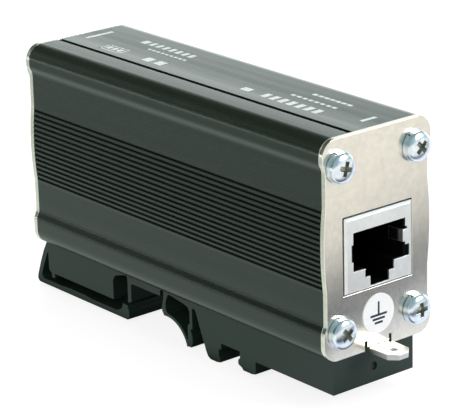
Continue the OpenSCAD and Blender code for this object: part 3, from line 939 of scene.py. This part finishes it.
@dataclass
class EndPlates:
    """Both end plates, and the round sticker with the earth sign.

    Attributes:
        stroke: Width of the sign's strokes, in millimetres.
        ink_height: How far the sign stands on the sticker, in metres.
        stem: Foot and top of the sign's upright, above the sticker's middle, in millimetres.
        bars: Height and half length of each crossbar, in millimetres.
    """

    stroke: float = 0.42
    ink_height: float = 0.02*MM
    stem: tuple[float, float] = (-0.25, 2.3)
    bars: Sequence[tuple[float, float]] = ((-0.25, 1.98), (-0.99, 1.47), (-1.72, 0.96))

    def build(self, materials: Materials) -> None:
        """Dresses the plates and draws the sign.

        Args:
            materials: The part's finishes.
        """
        materials.dress(["front_plate", "rear_plate"], "satin_nickel")
        materials.dress(["label_disc"], "label_film")
        low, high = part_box("label_disc")
        middle = (low + high)/2
        mesh = bmesh.new()
        half = self.stroke/2
        strokes = [(-half, half, *self.stem)]
        strokes += [(-reach, reach, z - half, z + half) for z, reach in self.bars]
        for y0, y1, z0, z1 in strokes:
            add_bar(mesh, Vector((high.x, middle.y + y0*MM, middle.z + z0*MM)),
                    Vector((high.x + self.ink_height, middle.y + y1*MM, middle.z + z1*MM)))
        mesh_piece("earth_sign", mesh, materials["label_ink"])


@dataclass
class Sockets:
    """The network socket at each end."""

    def build(self, materials: Materials) -> None:
        """Dresses both sockets.

        Args:
            materials: The part's finishes.
        """
        for end in End:
            side = end.name.lower()
            materials.dress([f"shield_{side}"], "bright_nickel")
            # the insulator's finish is black plastic darkened further as painted shade
            materials.dress([f"insulator_{side}"], "socket_black")
            materials.dress([f"contacts_{side}"], "gold_plate")


@dataclass
class Fasteners:
    """The screws and split washers that hold both plates.

    Attributes:
        corners: How many screws each plate has.
        recess_turns: Turn of the cross recess of each screw, as seen in front, in degrees.
        gap_turns: Turn of each washer's gap, in degrees.
        washer_height: Height of a pressed washer, in millimetres.
        head_radius: Radius of the head, in millimetres.
        head_rim: Height of the head's straight rim, in millimetres.
        head_crown: Height of the crown over the rim, in millimetres.
        crown_power: Fullness of the crown: 2 is a ball, more is flatter with a tighter shoulder.
        crown_share: Share of the head's rows of faces that the crown takes.
        head_faces: Faces round the head, and rows of them from its top to its underside.
        recess_length: Length of the cross's arms at the crown's top, in millimetres.
        recess_width: Width of its arms there, in millimetres.
        recess_depth: Depth of the cross, in millimetres.
        recess_above: Scales of an arm's length and width as far above the top as the floor is below it.
        recess_floor: Scales of its length and width at the floor.
        thread_radius: Outer radius of the thread, in millimetres.
        thread_length: Length below the head, in millimetres.
        thread_pitch: Distance between its turns, in millimetres.
        thread_depth: Its depth, as a share of the pitch.
        thread_root: How far the shank reaches into the head, in metres.
        thread_faces: Faces round the shank, and rows of them along it.
        screw_sharp: Angle past which an edge of the screw stays sharp, in degrees.
        washer_radius: Middle radius of the washer's wire, in millimetres.
        washer_width: Width of the wire across, in millimetres.
        washer_turn: How much of a full turn the wire makes.
        washer_rise: Share of the washer's height by which the wire climbs.
        washer_steps: Steps of the wire in a turn.
        washer_sharp: Angle past which an edge of the washer stays sharp, in degrees.
    """

    corners: int = 4
    recess_turns: Sequence[float] = (-16.0, -47.0, -52.0, 3.0)
    gap_turns: Sequence[float] = (200.0, 215.0, 190.0, 205.0)
    washer_height: float = 0.65
    head_radius: float = 2.8
    head_rim: float = 0.4
    head_crown: float = 0.95
    crown_power: float = 2.35
    crown_share: float = 0.9
    head_faces: tuple[int, int] = (64, 20)
    recess_length: float = 2.9
    recess_width: float = 0.95
    recess_depth: float = 1.1
    recess_above: tuple[float, float] = (1.42, 1.1)
    recess_floor: tuple[float, float] = (0.58, 0.8)
    thread_radius: float = 1.45
    thread_length: float = 9.0
    thread_pitch: float = 0.5
    thread_depth: float = 0.5
    thread_root: float = 0.1*MM
    thread_faces: tuple[int, int] = (20, 110)
    screw_sharp: float = 28.0
    washer_radius: float = 2.32
    washer_width: float = 1.4
    washer_turn: float = 0.986
    washer_rise: float = 0.15
    washer_steps: int = 48
    washer_sharp: float = 40.0

    def build(self, materials: Materials) -> None:
        """Puts a screw and a washer on every seat of the CAD fasteners.

        Args:
            materials: The part's finishes.
        """
        # the second finish, for the cross recess, is darkened as painted shade
        bright, rougher_shaded_zinc = materials["bright_zinc"], materials["dull_zinc"]
        numbers = range(1, self.corners + 1)
        names = [f"{end.name.lower()}_{i}" for end in End for i in numbers]
        screws = [f"screw_{name}" for name in names]
        washers = [f"washer_{name}" for name in names]
        self._screw_tree().piece(self._seats("screw", self.recess_turns), (bright, rougher_shaded_zinc),
                                 "threaded_screws", "screw_steel", screws)
        self._washer_tree().piece(self._seats("washer", self.gap_turns), (bright, rougher_shaded_zinc),
                                  "split_washers", "washer_steel", washers)

    def _seats(self, kind: str, turns: Sequence[float]) -> list[tuple[Vector, Euler]]:
        """Reads where the CAD fasteners sit on their plate or washer.

        Args:
            kind: The first word of the nodes' names.
            turns: Turn of each corner's piece about its own axis, in degrees.

        Returns:
            Each seat's place, and the turn that points +Z away from the plate.
        """
        seats = []
        for end in End:
            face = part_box(f"washer_{end.name.lower()}_1")[0 if end is End.FRONT else 1].x
            lift = self.washer_height*MM*end.value if kind == "screw" else 0.0
            tilt = Matrix.Rotation(math.radians(90.0*end.value), 3, "Y")
            for i, turn in enumerate(turns, start=1):
                low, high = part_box(f"{kind}_{end.name.lower()}_{i}")
                spin = Matrix.Rotation(math.radians(turn), 3, "Z")
                place = Vector((face + lift, (low.y + high.y)/2, (low.z + high.z)/2))
                seats.append((place, (tilt @ spin).to_euler()))
        return seats

    def _screw_tree(self) -> ShapeTree:
        """Builds the tree of a domed screw with a cross recess and a thread.

        Returns:
            The tree.
        """
        tree = ShapeTree("cross_recess_screw", {
            "Head Radius": self.head_radius*MM, "Rim": self.head_rim*MM, "Crown": self.head_crown*MM,
            "Recess Length": self.recess_length*MM, "Recess Width": self.recess_width*MM,
            "Recess Depth": self.recess_depth*MM, "Thread Radius": self.thread_radius*MM,
            "Thread Length": self.thread_length*MM, "Thread Pitch": self.thread_pitch*MM})
        head = self._head(tree)
        for angle in (0.0, 90.0):
            cut = {"Mesh 1": head, "Mesh 2": self._recess_arm(tree, angle)}
            head = tree.add("GeometryNodeMeshBoolean", cut, operation="DIFFERENCE", solver="EXACT").outputs[0]
        both = tree.add("GeometryNodeJoinGeometry")
        for part in (head, self._shank(tree)):
            tree.put(both.inputs[0], part)
        tree.spread(both.outputs[0], self.screw_sharp)
        return tree

    def _shank(self, tree: ShapeTree) -> Socket:
        """Builds the threaded shank, closed at both ends.

        Args:
            tree: The screw's tree.

        Returns:
            The shank's mesh socket.
        """
        given = tree.given
        turns = tree.math("DIVIDE", given["Thread Length"], given["Thread Pitch"])

        def radius(way: Socket, turn: Socket) -> Socket:
            """Gives a wave that climbs by one pitch a turn.

            Args:
                way: Share of the way down the shank.
                turn: Share of the way round it.

            Returns:
                The radius's socket.
            """
            phase = tree.math("FRACT", tree.math("ADD", tree.math("MULTIPLY", way, turns), turn))
            wave = tree.math("ABSOLUTE", tree.math("MULTIPLY_ADD", phase, 2.0, -1.0))
            depth = tree.math("MULTIPLY", given["Thread Pitch"], self.thread_depth)
            reach = tree.math("SUBTRACT", given["Thread Radius"], tree.math("MULTIPLY", wave, depth))
            between_ends = tree.math("MULTIPLY", tree.math("GREATER_THAN", way, POLE),
                                     tree.math("LESS_THAN", way, 1.0 - POLE))
            return tree.math("MULTIPLY", reach, between_ends)

        def height(way: Socket, turn: Socket) -> Socket:
            """Runs down from just inside the head."""
            return tree.math("SUBTRACT", self.thread_root, tree.math("MULTIPLY", way, given["Thread Length"]))

        return tree.turned(*self.thread_faces, radius, height)

    def _head(self, tree: ShapeTree) -> Socket:
        """Builds the head as a full crown over a straight rim.

        Args:
            tree: The screw's tree.

        Returns:
            The head's mesh socket.
        """
        given = tree.given
        power = 2.0/self.crown_power

        def angle(way: Socket) -> Socket:
            """Gives the angle from the crown's top, held at the rim."""
            share = tree.math("MINIMUM", tree.math("DIVIDE", way, self.crown_share), 1.0)
            return tree.math("MULTIPLY", share, math.pi/2)

        def radius(way: Socket, turn: Socket) -> Socket:
            """Follows the crown out to the rim, and comes back under the head.

            Args:
                way: Share of the way from the top to the underside's middle.
                turn: Share of the way round.

            Returns:
                The radius's socket.
            """
            reach = tree.math("POWER", tree.math("SINE", angle(way)), power)
            wide = tree.math("MULTIPLY", reach, given["Head Radius"])
            return tree.math("MULTIPLY", wide, tree.math("LESS_THAN", way, 1.0 - POLE))

        def height(way: Socket, turn: Socket) -> Socket:
            """Follows the crown down to the rim, and then the head's underside.

            Args:
                way: Share of the way from the top to the underside's middle.
                turn: Share of the way round.

            Returns:
                The height's socket.
            """
            rise = tree.math("POWER", tree.math("MAXIMUM", tree.math("COSINE", angle(way)), 0.0), power)
            top = tree.math("MULTIPLY_ADD", rise, given["Crown"], given["Rim"])
            return tree.math("MULTIPLY", top, tree.math("LESS_THAN", way, self.crown_share + POLE))

        return tree.turned(*self.head_faces, radius, height)

    def _recess_arm(self, tree: ShapeTree, angle: float) -> Socket:
        """Builds one arm of the cross, narrower at its floor.

        Args:
            tree: The screw's tree.
            angle: Turn of the arm, in degrees.

        Returns:
            The arm's mesh socket.
        """
        given = tree.given
        top = tree.math("ADD", given["Rim"], given["Crown"])
        size = tree.vector(given["Recess Length"], given["Recess Width"],
                           tree.math("MULTIPLY", given["Recess Depth"], 2.0))
        corners = {f"Vertices {axis}": 2 for axis in "XYZ"}
        block = tree.add("GeometryNodeMeshCube", {"Size": size, **corners}).outputs["Mesh"]
        parts = tree.parts(tree.add("GeometryNodeInputPosition").outputs[0])
        low = tree.math("LESS_THAN", parts["Z"], 0.0)
        scales = [tree.math("SUBTRACT", above, tree.math("MULTIPLY", low, above - floor))
                  for above, floor in zip(self.recess_above, self.recess_floor)]
        narrowed = tree.vector(tree.math("MULTIPLY", parts["X"], scales[0]),
                               tree.math("MULTIPLY", parts["Y"], scales[1]), parts["Z"])
        tapered = tree.add("GeometryNodeSetPosition", {"Geometry": block, "Position": narrowed}).outputs[0]
        dressed = tree.add("GeometryNodeSetMaterial", {0: tapered, "Material": given["Inner Finish"]})
        return tree.add("GeometryNodeTransform", {
            0: dressed.outputs[0], "Translation": tree.vector(0.0, 0.0, top),
            "Rotation": (0.0, 0.0, math.radians(angle))}).outputs[0]

    def _washer_tree(self) -> ShapeTree:
        """Builds the tree of a split spring washer, a short turn of square wire.

        Returns:
            The tree.
        """
        height = self.washer_height*MM
        tree = ShapeTree("split_washer", {
            "Radius": self.washer_radius*MM, "Width": self.washer_width*MM,
            "Thickness": height*(1.0 - self.washer_rise), "Rise": height*self.washer_rise,
            "Turn": self.washer_turn})
        given = tree.given
        path = tree.add("GeometryNodeCurveSpiral", {
            "Resolution": self.washer_steps, "Rotations": given["Turn"], "Start Radius": given["Radius"],
            "End Radius": given["Radius"], "Height": given["Rise"]})
        upright = tree.add("GeometryNodeSetCurveNormal", {0: path.outputs[0]}, mode="Z_UP")
        lift = tree.vector(0.0, 0.0, tree.math("MULTIPLY", given["Thickness"], 0.5))
        lifted = tree.add("GeometryNodeTransform", {0: upright.outputs[0], "Translation": lift})
        section = tree.add("GeometryNodeCurvePrimitiveQuadrilateral",
                           {0: given["Width"], 1: given["Thickness"]})
        wire = tree.add("GeometryNodeCurveToMesh", {
            "Curve": lifted.outputs[0], "Profile Curve": section.outputs[0], "Fill Caps": True})
        tree.spread(wire.outputs[0], self.washer_sharp)
        return tree


@dataclass
class Foot:
    """The moulded foot that clips on the rail."""

    def build(self, materials: Materials) -> None:
        """Dresses the foot.

        Args:
            materials: The part's finishes.
        """
        materials.dress(["foot"], "moulded_black")


@dataclass
class Board:
    """The circuit board and what stands on it.

    Attributes:
        lines: How many protected pairs the board carries.
    """

    lines: int = 4

    def build(self, materials: Materials) -> None:
        """Dresses the board and its parts.

        Args:
            materials: The part's finishes.
        """
        numbers = range(1, self.lines + 1)
        materials.dress(["board"], "solder_mask")
        materials.dress(["ground_strap"], "brass_strip")
        materials.dress([f"arrester_{i}" for i in numbers], "white_ceramic")
        materials.dress([f"electrodes_{i}" for i in numbers], "tinned_metal")
        materials.dress([f"suppressor_{i}" for i in numbers], "moulded_chip")
        materials.dress([f"resistor_{s}_{i}" for s in ("left", "right") for i in numbers], "coated_resistor")


@dataclass(frozen=True)
class Viewpoint:
    """The camera, fitted to the photograph's own outline of the part.

    Attributes:
        azimuth: Turn round Z, in degrees, from looking along +Y.
        elevation: Height over the horizon, in degrees.
        roll: Tilt of the picture, in degrees.
        distance: From the target to the camera, in metres.
        target: The point that the camera was fitted round, in metres.
        focal_px: Focal length, in pixels of the picture.
        centre_px: Offset of the optical axis from the picture's middle, in pixels.
        nearest: Distance from which the camera sees things, in metres.
    """

    azimuth: float = 50.08
    elevation: float = 18.77
    roll: float = -1.21
    distance: float = 479.66*MM
    target: Point = (12.215*MM, 0.0, 31.15*MM)
    focal_px: float = 2585.5
    centre_px: tuple[float, float] = (31.4, -10.8)
    nearest: float = 10*MM

    def build(self) -> None:
        """Makes the camera and makes it the scene's own."""
        azimuth, elevation, roll = (math.radians(v) for v in (self.azimuth, self.elevation, self.roll))
        away = Vector((math.sin(azimuth)*math.cos(elevation), -math.cos(azimuth)*math.cos(elevation),
                       math.sin(elevation)))
        level = Vector((math.cos(azimuth), math.sin(azimuth), 0.0))
        upright = away.cross(level)
        right = math.cos(roll)*level + math.sin(roll)*upright
        up = away.cross(right)
        data = bpy.data.cameras.new("photo_camera")
        data.sensor_fit = "HORIZONTAL"
        data.lens = self.focal_px/IMAGE_WIDTH*data.sensor_width
        data.shift_x = -self.centre_px[0]/IMAGE_WIDTH
        data.shift_y = self.centre_px[1]/IMAGE_WIDTH
        data.clip_start = self.nearest
        camera = bpy.data.objects.new("photo_camera", data)
        place = Vector(self.target) + self.distance*away
        turn = Matrix((right, up, away)).transposed()
        camera.matrix_world = Matrix.Translation(place) @ turn.to_4x4()
        bpy.context.scene.collection.objects.link(camera)
        bpy.context.scene.camera = camera
        LOG.info("camera stands %.0f mm away", self.distance/MM)


@dataclass(frozen=True)
class Lamp:
    """One soft area lamp.

    Attributes:
        name: Its name.
        place: Where it hangs, in metres.
        size: Width and height of its panel, in metres.
        power: Its power, in watts.
        glossy: Whether metal and gloss show its panel.
    """

    name: str
    place: Point
    size: tuple[float, float]
    power: float
    glossy: bool = True

    def build(self, aim: Vector) -> None:
        """Hangs the lamp.

        Args:
            aim: The point that it faces.
        """
        data = bpy.data.lights.new(self.name, "AREA")
        data.shape = "RECTANGLE"
        data.size, data.size_y = self.size
        data.energy = self.power
        lamp = bpy.data.objects.new(self.name, data)
        lamp.location = self.place
        lamp.rotation_euler = (Vector(self.place) - aim).to_track_quat("Z", "Y").to_euler()
        lamp.visible_glossy = self.glossy
        bpy.context.scene.collection.objects.link(lamp)


@dataclass
class Studio:
    """White sheet, pale backdrop and lamps.

    What gloss shows is a white sheet with one greyer stretch some way in front of the end plate, a
    backdrop behind that fades upwards, one panel, and a room that is darker behind than in front.

    Attributes:
        floor_size: Side of the sheet, in metres.
        floor_gap: How far the sheet lies under the part, in metres.
        paper: Albedo of the sheet.
        glow: Light that the sheet shows to the camera beside what falls on it.
        sheet: Colour of the white sheet, as gloss shows it.
        near_sheet: Its colour close to the end plate.
        stretch: Colour of the greyer stretch.
        stretch_in: Distances from the plate over which the stretch begins, in metres.
        stretch_out: Distances from the plate over which it ends, in metres.
        stretch_side: Places along Y over which it begins, in metres.
        stretch_skew: How much nearer the stretch lies for each metre along Y.
        left_near: Strength of the sheet close to the part's left side.
        left_middle: Its strength further out on that side.
        left_far: Its strength towards the horizon on that side.
        left_fall: Distances over which the first passes into the second, in metres.
        left_rise: Distances over which the second passes into the third, in metres.
        left_end: How far behind the plate the left side's strengths begin and hold, in metres.
        left_tint: Colour of the sheet on that side at a strength of 1.
        under: Colour of the sheet in the part's own shade.
        under_middle: Where the shade's middle lies along X, in metres.
        under_x: Distances from it along X over which the shade ends, in metres.
        under_y: Distances from the part's middle along Y over which it ends, in metres.
        lamps: The soft lamps.
        fill: Strength of the world's even light.
        backdrop_low: Colour of the backdrop's foot, as gloss shows it.
        backdrop_high: Its colour at the top.
        backdrop_fade: Elevations over which the first passes into the second, in degrees.
        backdrop_end: Elevations over which the backdrop passes into the room, in degrees.
        backdrop_azimuth: Direction of the backdrop's middle, in degrees from +X.
        backdrop_side: Cosines to that direction over which it begins sideways.
        room_back: Colour of the darker room behind, as gloss shows it.
        room_front: Colour of the room in front.
        room_turn: Directions along X over which the room passes from back to front.
    """

    floor_size: float = 6.0
    floor_gap: float = 0.02*MM
    paper: float = 0.28
    glow: float = 0.84
    sheet: Colour = WHITE
    near_sheet: Colour = (0.95, 1.0, 1.12)
    stretch: Colour = (0.02, 0.035, 0.075)
    stretch_in: tuple[float, float] = (0.0185, 0.0245)
    stretch_out: tuple[float, float] = (0.037, 0.053)
    stretch_side: tuple[float, float] = (-0.035, -0.012)
    stretch_skew: float = 0.3
    left_near: float = 0.85
    left_middle: float = 0.58
    left_far: float = 3.0
    left_fall: tuple[float, float] = (0.03, 0.08)
    left_rise: tuple[float, float] = (0.36, 0.7)
    left_end: tuple[float, float] = (0.0, 0.03)
    left_tint: Colour = (0.91, 1.03, 0.98)
    under: Colour = (0.02, 0.025, 0.02)
    under_middle: float = -3.0*MM
    under_x: tuple[float, float] = (0.046, 0.058)
    under_y: tuple[float, float] = (0.009, 0.014)
    lamps: Sequence[Lamp] = field(default_factory=lambda: (
        Lamp("tall_panel", (0.78, 0.50, 0.46), (0.36, 0.50), 6.6),
        Lamp("overhead", (-0.1, 0.25, 1.0), (1.0, 1.0), 7.0, glossy=False),
        Lamp("left_fill", (0.45, -1.0, 0.5), (0.8, 0.8), 5.0, glossy=False),
    ))
    fill: float = 0.35
    backdrop_low: Colour = (1.7, 1.84, 1.82)
    backdrop_high: Colour = (0.5, 0.57, 0.56)
    backdrop_fade: tuple[float, float] = (12.0, 27.0)
    backdrop_end: tuple[float, float] = (24.0, 32.0)
    backdrop_azimuth: float = 140.1
    backdrop_side: tuple[float, float] = (0.2, 0.55)
    room_back: Colour = (0.07, 0.08, 0.065)
    room_front: Colour = (0.30, 0.42, 0.46)
    room_turn: tuple[float, float] = (-0.3, 0.2)

    def build(self) -> None:
        """Makes the sheet, the world and the lamps."""
        scene = bpy.context.scene
        scene.view_settings.view_transform = "Standard"
        low, high = (Vector(corner) for corner in CAD_BOUNDS)
        self._floor(low.z - self.floor_gap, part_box("label_disc")[0].x)
        self._world(scene)
        for lamp in self.lamps:
            lamp.build((low + high)/2)
        LOG.info("studio has %d lamps", len(self.lamps))

    @staticmethod
    def _hidden_rays(build: NodeBuilder) -> tuple[bpy.types.Node, Socket]:
        """Gives the light path node, and 1 for the rays of gloss and glass."""
        rays = build.add("ShaderNodeLightPath")
        return rays, build.math("MAXIMUM", rays.outputs["Is Glossy Ray"], rays.outputs["Is Transmission Ray"])

    def _shown_sheet(self, build: NodeBuilder, plate_x: float) -> Socket:
        """Works out the colour of each place of the sheet in gloss.

        Args:
            build: The builder of the sheet's tree.
            plate_x: Where the end plate stands, in metres.

        Returns:
            The colour's socket.
        """
        parts = build.parts(build.add("ShaderNodeNewGeometry").outputs["Position"])
        along = build.math("SUBTRACT", parts["X"], plate_x)
        front = self._front_sheet(build, along, parts["Y"])
        lit = self._left_sheet(build, along, parts["Y"], front)
        from_middle = build.math("ABSOLUTE", build.math("SUBTRACT", parts["X"], self.under_middle))
        shade_x = build.span(from_middle, *self.under_x, 1.0, 0.0, smooth=True)
        shade_y = build.span(build.math("ABSOLUTE", parts["Y"]), *self.under_y, 1.0, 0.0, smooth=True)
        return build.mix(build.math("MULTIPLY", shade_x, shade_y), lit, self.under)

    def _front_sheet(self, build: NodeBuilder, along: Socket, across: Socket) -> Socket:
        """Works out the sheet's colour in front of the end plate.

        Args:
            build: The builder of the sheet's tree.
            along: Distance from the end plate along X.
            across: Place along Y.

        Returns:
            The colour's socket.
        """
        ahead = build.math("SUBTRACT", along, build.math("MULTIPLY", across, self.stretch_skew))
        begun = build.span(ahead, *self.stretch_in, 0.0, 1.0, smooth=True)
        ended = build.span(ahead, *self.stretch_out, 0.0, 1.0, smooth=True)
        inside = build.span(across, *self.stretch_side, 0.0, 1.0, smooth=True)
        front = build.mix(ended, build.mix(begun, self.near_sheet, self.stretch), self.sheet)
        return build.mix(inside, self.sheet, front)

    def _left_sheet(self, build: NodeBuilder, along: Socket, across: Socket, other: Socket) -> Socket:
        """Lays the left side's strengths over the sheet's colour.

        Args:
            build: The builder of the sheet's tree.
            along: Distance from the end plate along X.
            across: Place along Y.
            other: The sheet's colour elsewhere.

        Returns:
            The colour's socket.
        """
        out = build.math("MULTIPLY", across, -1.0)
        near = build.span(out, *self.left_fall, self.left_near, self.left_middle, smooth=True)
        far = build.span(out, *self.left_rise, 0.0, self.left_far, smooth=True)
        tinted = build.add("ShaderNodeVectorMath", {0: self.left_tint, "Scale": build.math("ADD", near, far)},
                           operation="SCALE").outputs[0]
        behind = build.span(build.math("MULTIPLY", along, -1.0), *self.left_end, 0.0, 1.0, smooth=True)
        beside = build.math("MULTIPLY", behind, build.math("GREATER_THAN", out, 0.0))
        return build.mix(beside, other, tinted)

    def _floor(self, height: float, plate_x: float) -> None:
        """Lays the sheet, which shows white to the camera and keeps a faint shadow.

        Args:
            height: Height of its face, in metres.
            plate_x: Where the end plate stands, in metres.
        """
        half = self.floor_size/2
        mesh = bmesh.new()
        corners = ((-half, -half), (half, -half), (half, half), (-half, half))
        mesh.faces.new([mesh.verts.new((x, y, height)) for x, y in corners])
        data = bpy.data.meshes.new("floor")
        mesh.to_mesh(data)
        mesh.free()
        material = bpy.data.materials.new("white_sheet")
        material.use_nodes = True
        material.node_tree.nodes.clear()
        build = NodeBuilder(material.node_tree)
        rays, gloss = self._hidden_rays(build)
        paper = build.add("ShaderNodeBsdfDiffuse", {"Color": rgba((self.paper,)*3)}).outputs[0]
        glow = build.add("ShaderNodeEmission", {"Strength": self.glow}).outputs[0]
        white = build.add("ShaderNodeAddShader", {0: paper, 1: glow}).outputs[0]
        shown = build.add("ShaderNodeEmission", {"Color": self._shown_sheet(build, plate_x)}).outputs[0]
        camera = rays.outputs["Is Camera Ray"]
        seen = build.add("ShaderNodeMixShader", {0: camera, 1: paper, 2: white}).outputs[0]
        mixed = build.add("ShaderNodeMixShader", {0: gloss, 1: seen, 2: shown}).outputs[0]
        build.add("ShaderNodeOutputMaterial", {"Surface": mixed})
        data.materials.append(material)
        floor = bpy.data.objects.new("floor", data)
        bpy.context.scene.collection.objects.link(floor)

    def _world(self, scene: bpy.types.Scene) -> None:
        """Makes even light, with a pale backdrop and a darker room for gloss.

        Args:
            scene: The scene that gets the world.
        """
        world = bpy.data.worlds.new("studio_world")
        scene.world = world
        world.use_nodes = True
        world.node_tree.nodes.clear()
        build = NodeBuilder(world.node_tree)
        towards = build.add("ShaderNodeTexCoord").outputs["Generated"]
        parts = build.parts(towards)
        turn = math.radians(self.backdrop_azimuth)
        facing = build.add("ShaderNodeVectorMath", {0: towards, 1: (math.cos(turn), math.sin(turn), 0.0)},
                           operation="DOT_PRODUCT").outputs["Value"]
        fade, end = ([math.sin(math.radians(angle)) for angle in pair]
                     for pair in (self.backdrop_fade, self.backdrop_end))
        sheet = build.mix(build.span(parts["Z"], *fade, 0.0, 1.0), self.backdrop_low, self.backdrop_high)
        under = build.span(parts["Z"], *end, 1.0, 0.0, smooth=True)
        behind = build.span(facing, *self.backdrop_side, 0.0, 1.0, smooth=True)
        ahead = build.span(parts["X"], *self.room_turn, 0.0, 1.0, smooth=True)
        room = build.mix(ahead, self.room_back, self.room_front)
        shown = build.mix(build.math("MULTIPLY", under, behind), room, sheet)
        rays, gloss = self._hidden_rays(build)
        colour = build.mix(gloss, (self.fill,)*3, shown)
        colour = build.mix(rays.outputs["Is Camera Ray"], colour, WHITE)
        light = build.add("ShaderNodeBackground", {"Color": colour})
        build.add("ShaderNodeOutputWorld", {"Surface": light.outputs[0]})


def main() -> None:
    """Builds the camera, the studio and every sub-assembly."""
    logging.basicConfig(level=logging.INFO, format="%(name)s: %(message)s")
    Viewpoint().build()
    Studio().build()
    materials = Materials()
    for assembly in (Housing(), EndPlates(), Sockets(), Fasteners(), Foot(), Board()):
        assembly.build(materials)
        LOG.info("%s is done", type(assembly).__name__)
    bpy.context.view_layer.update()


if __name__ == "__main__":
    main()
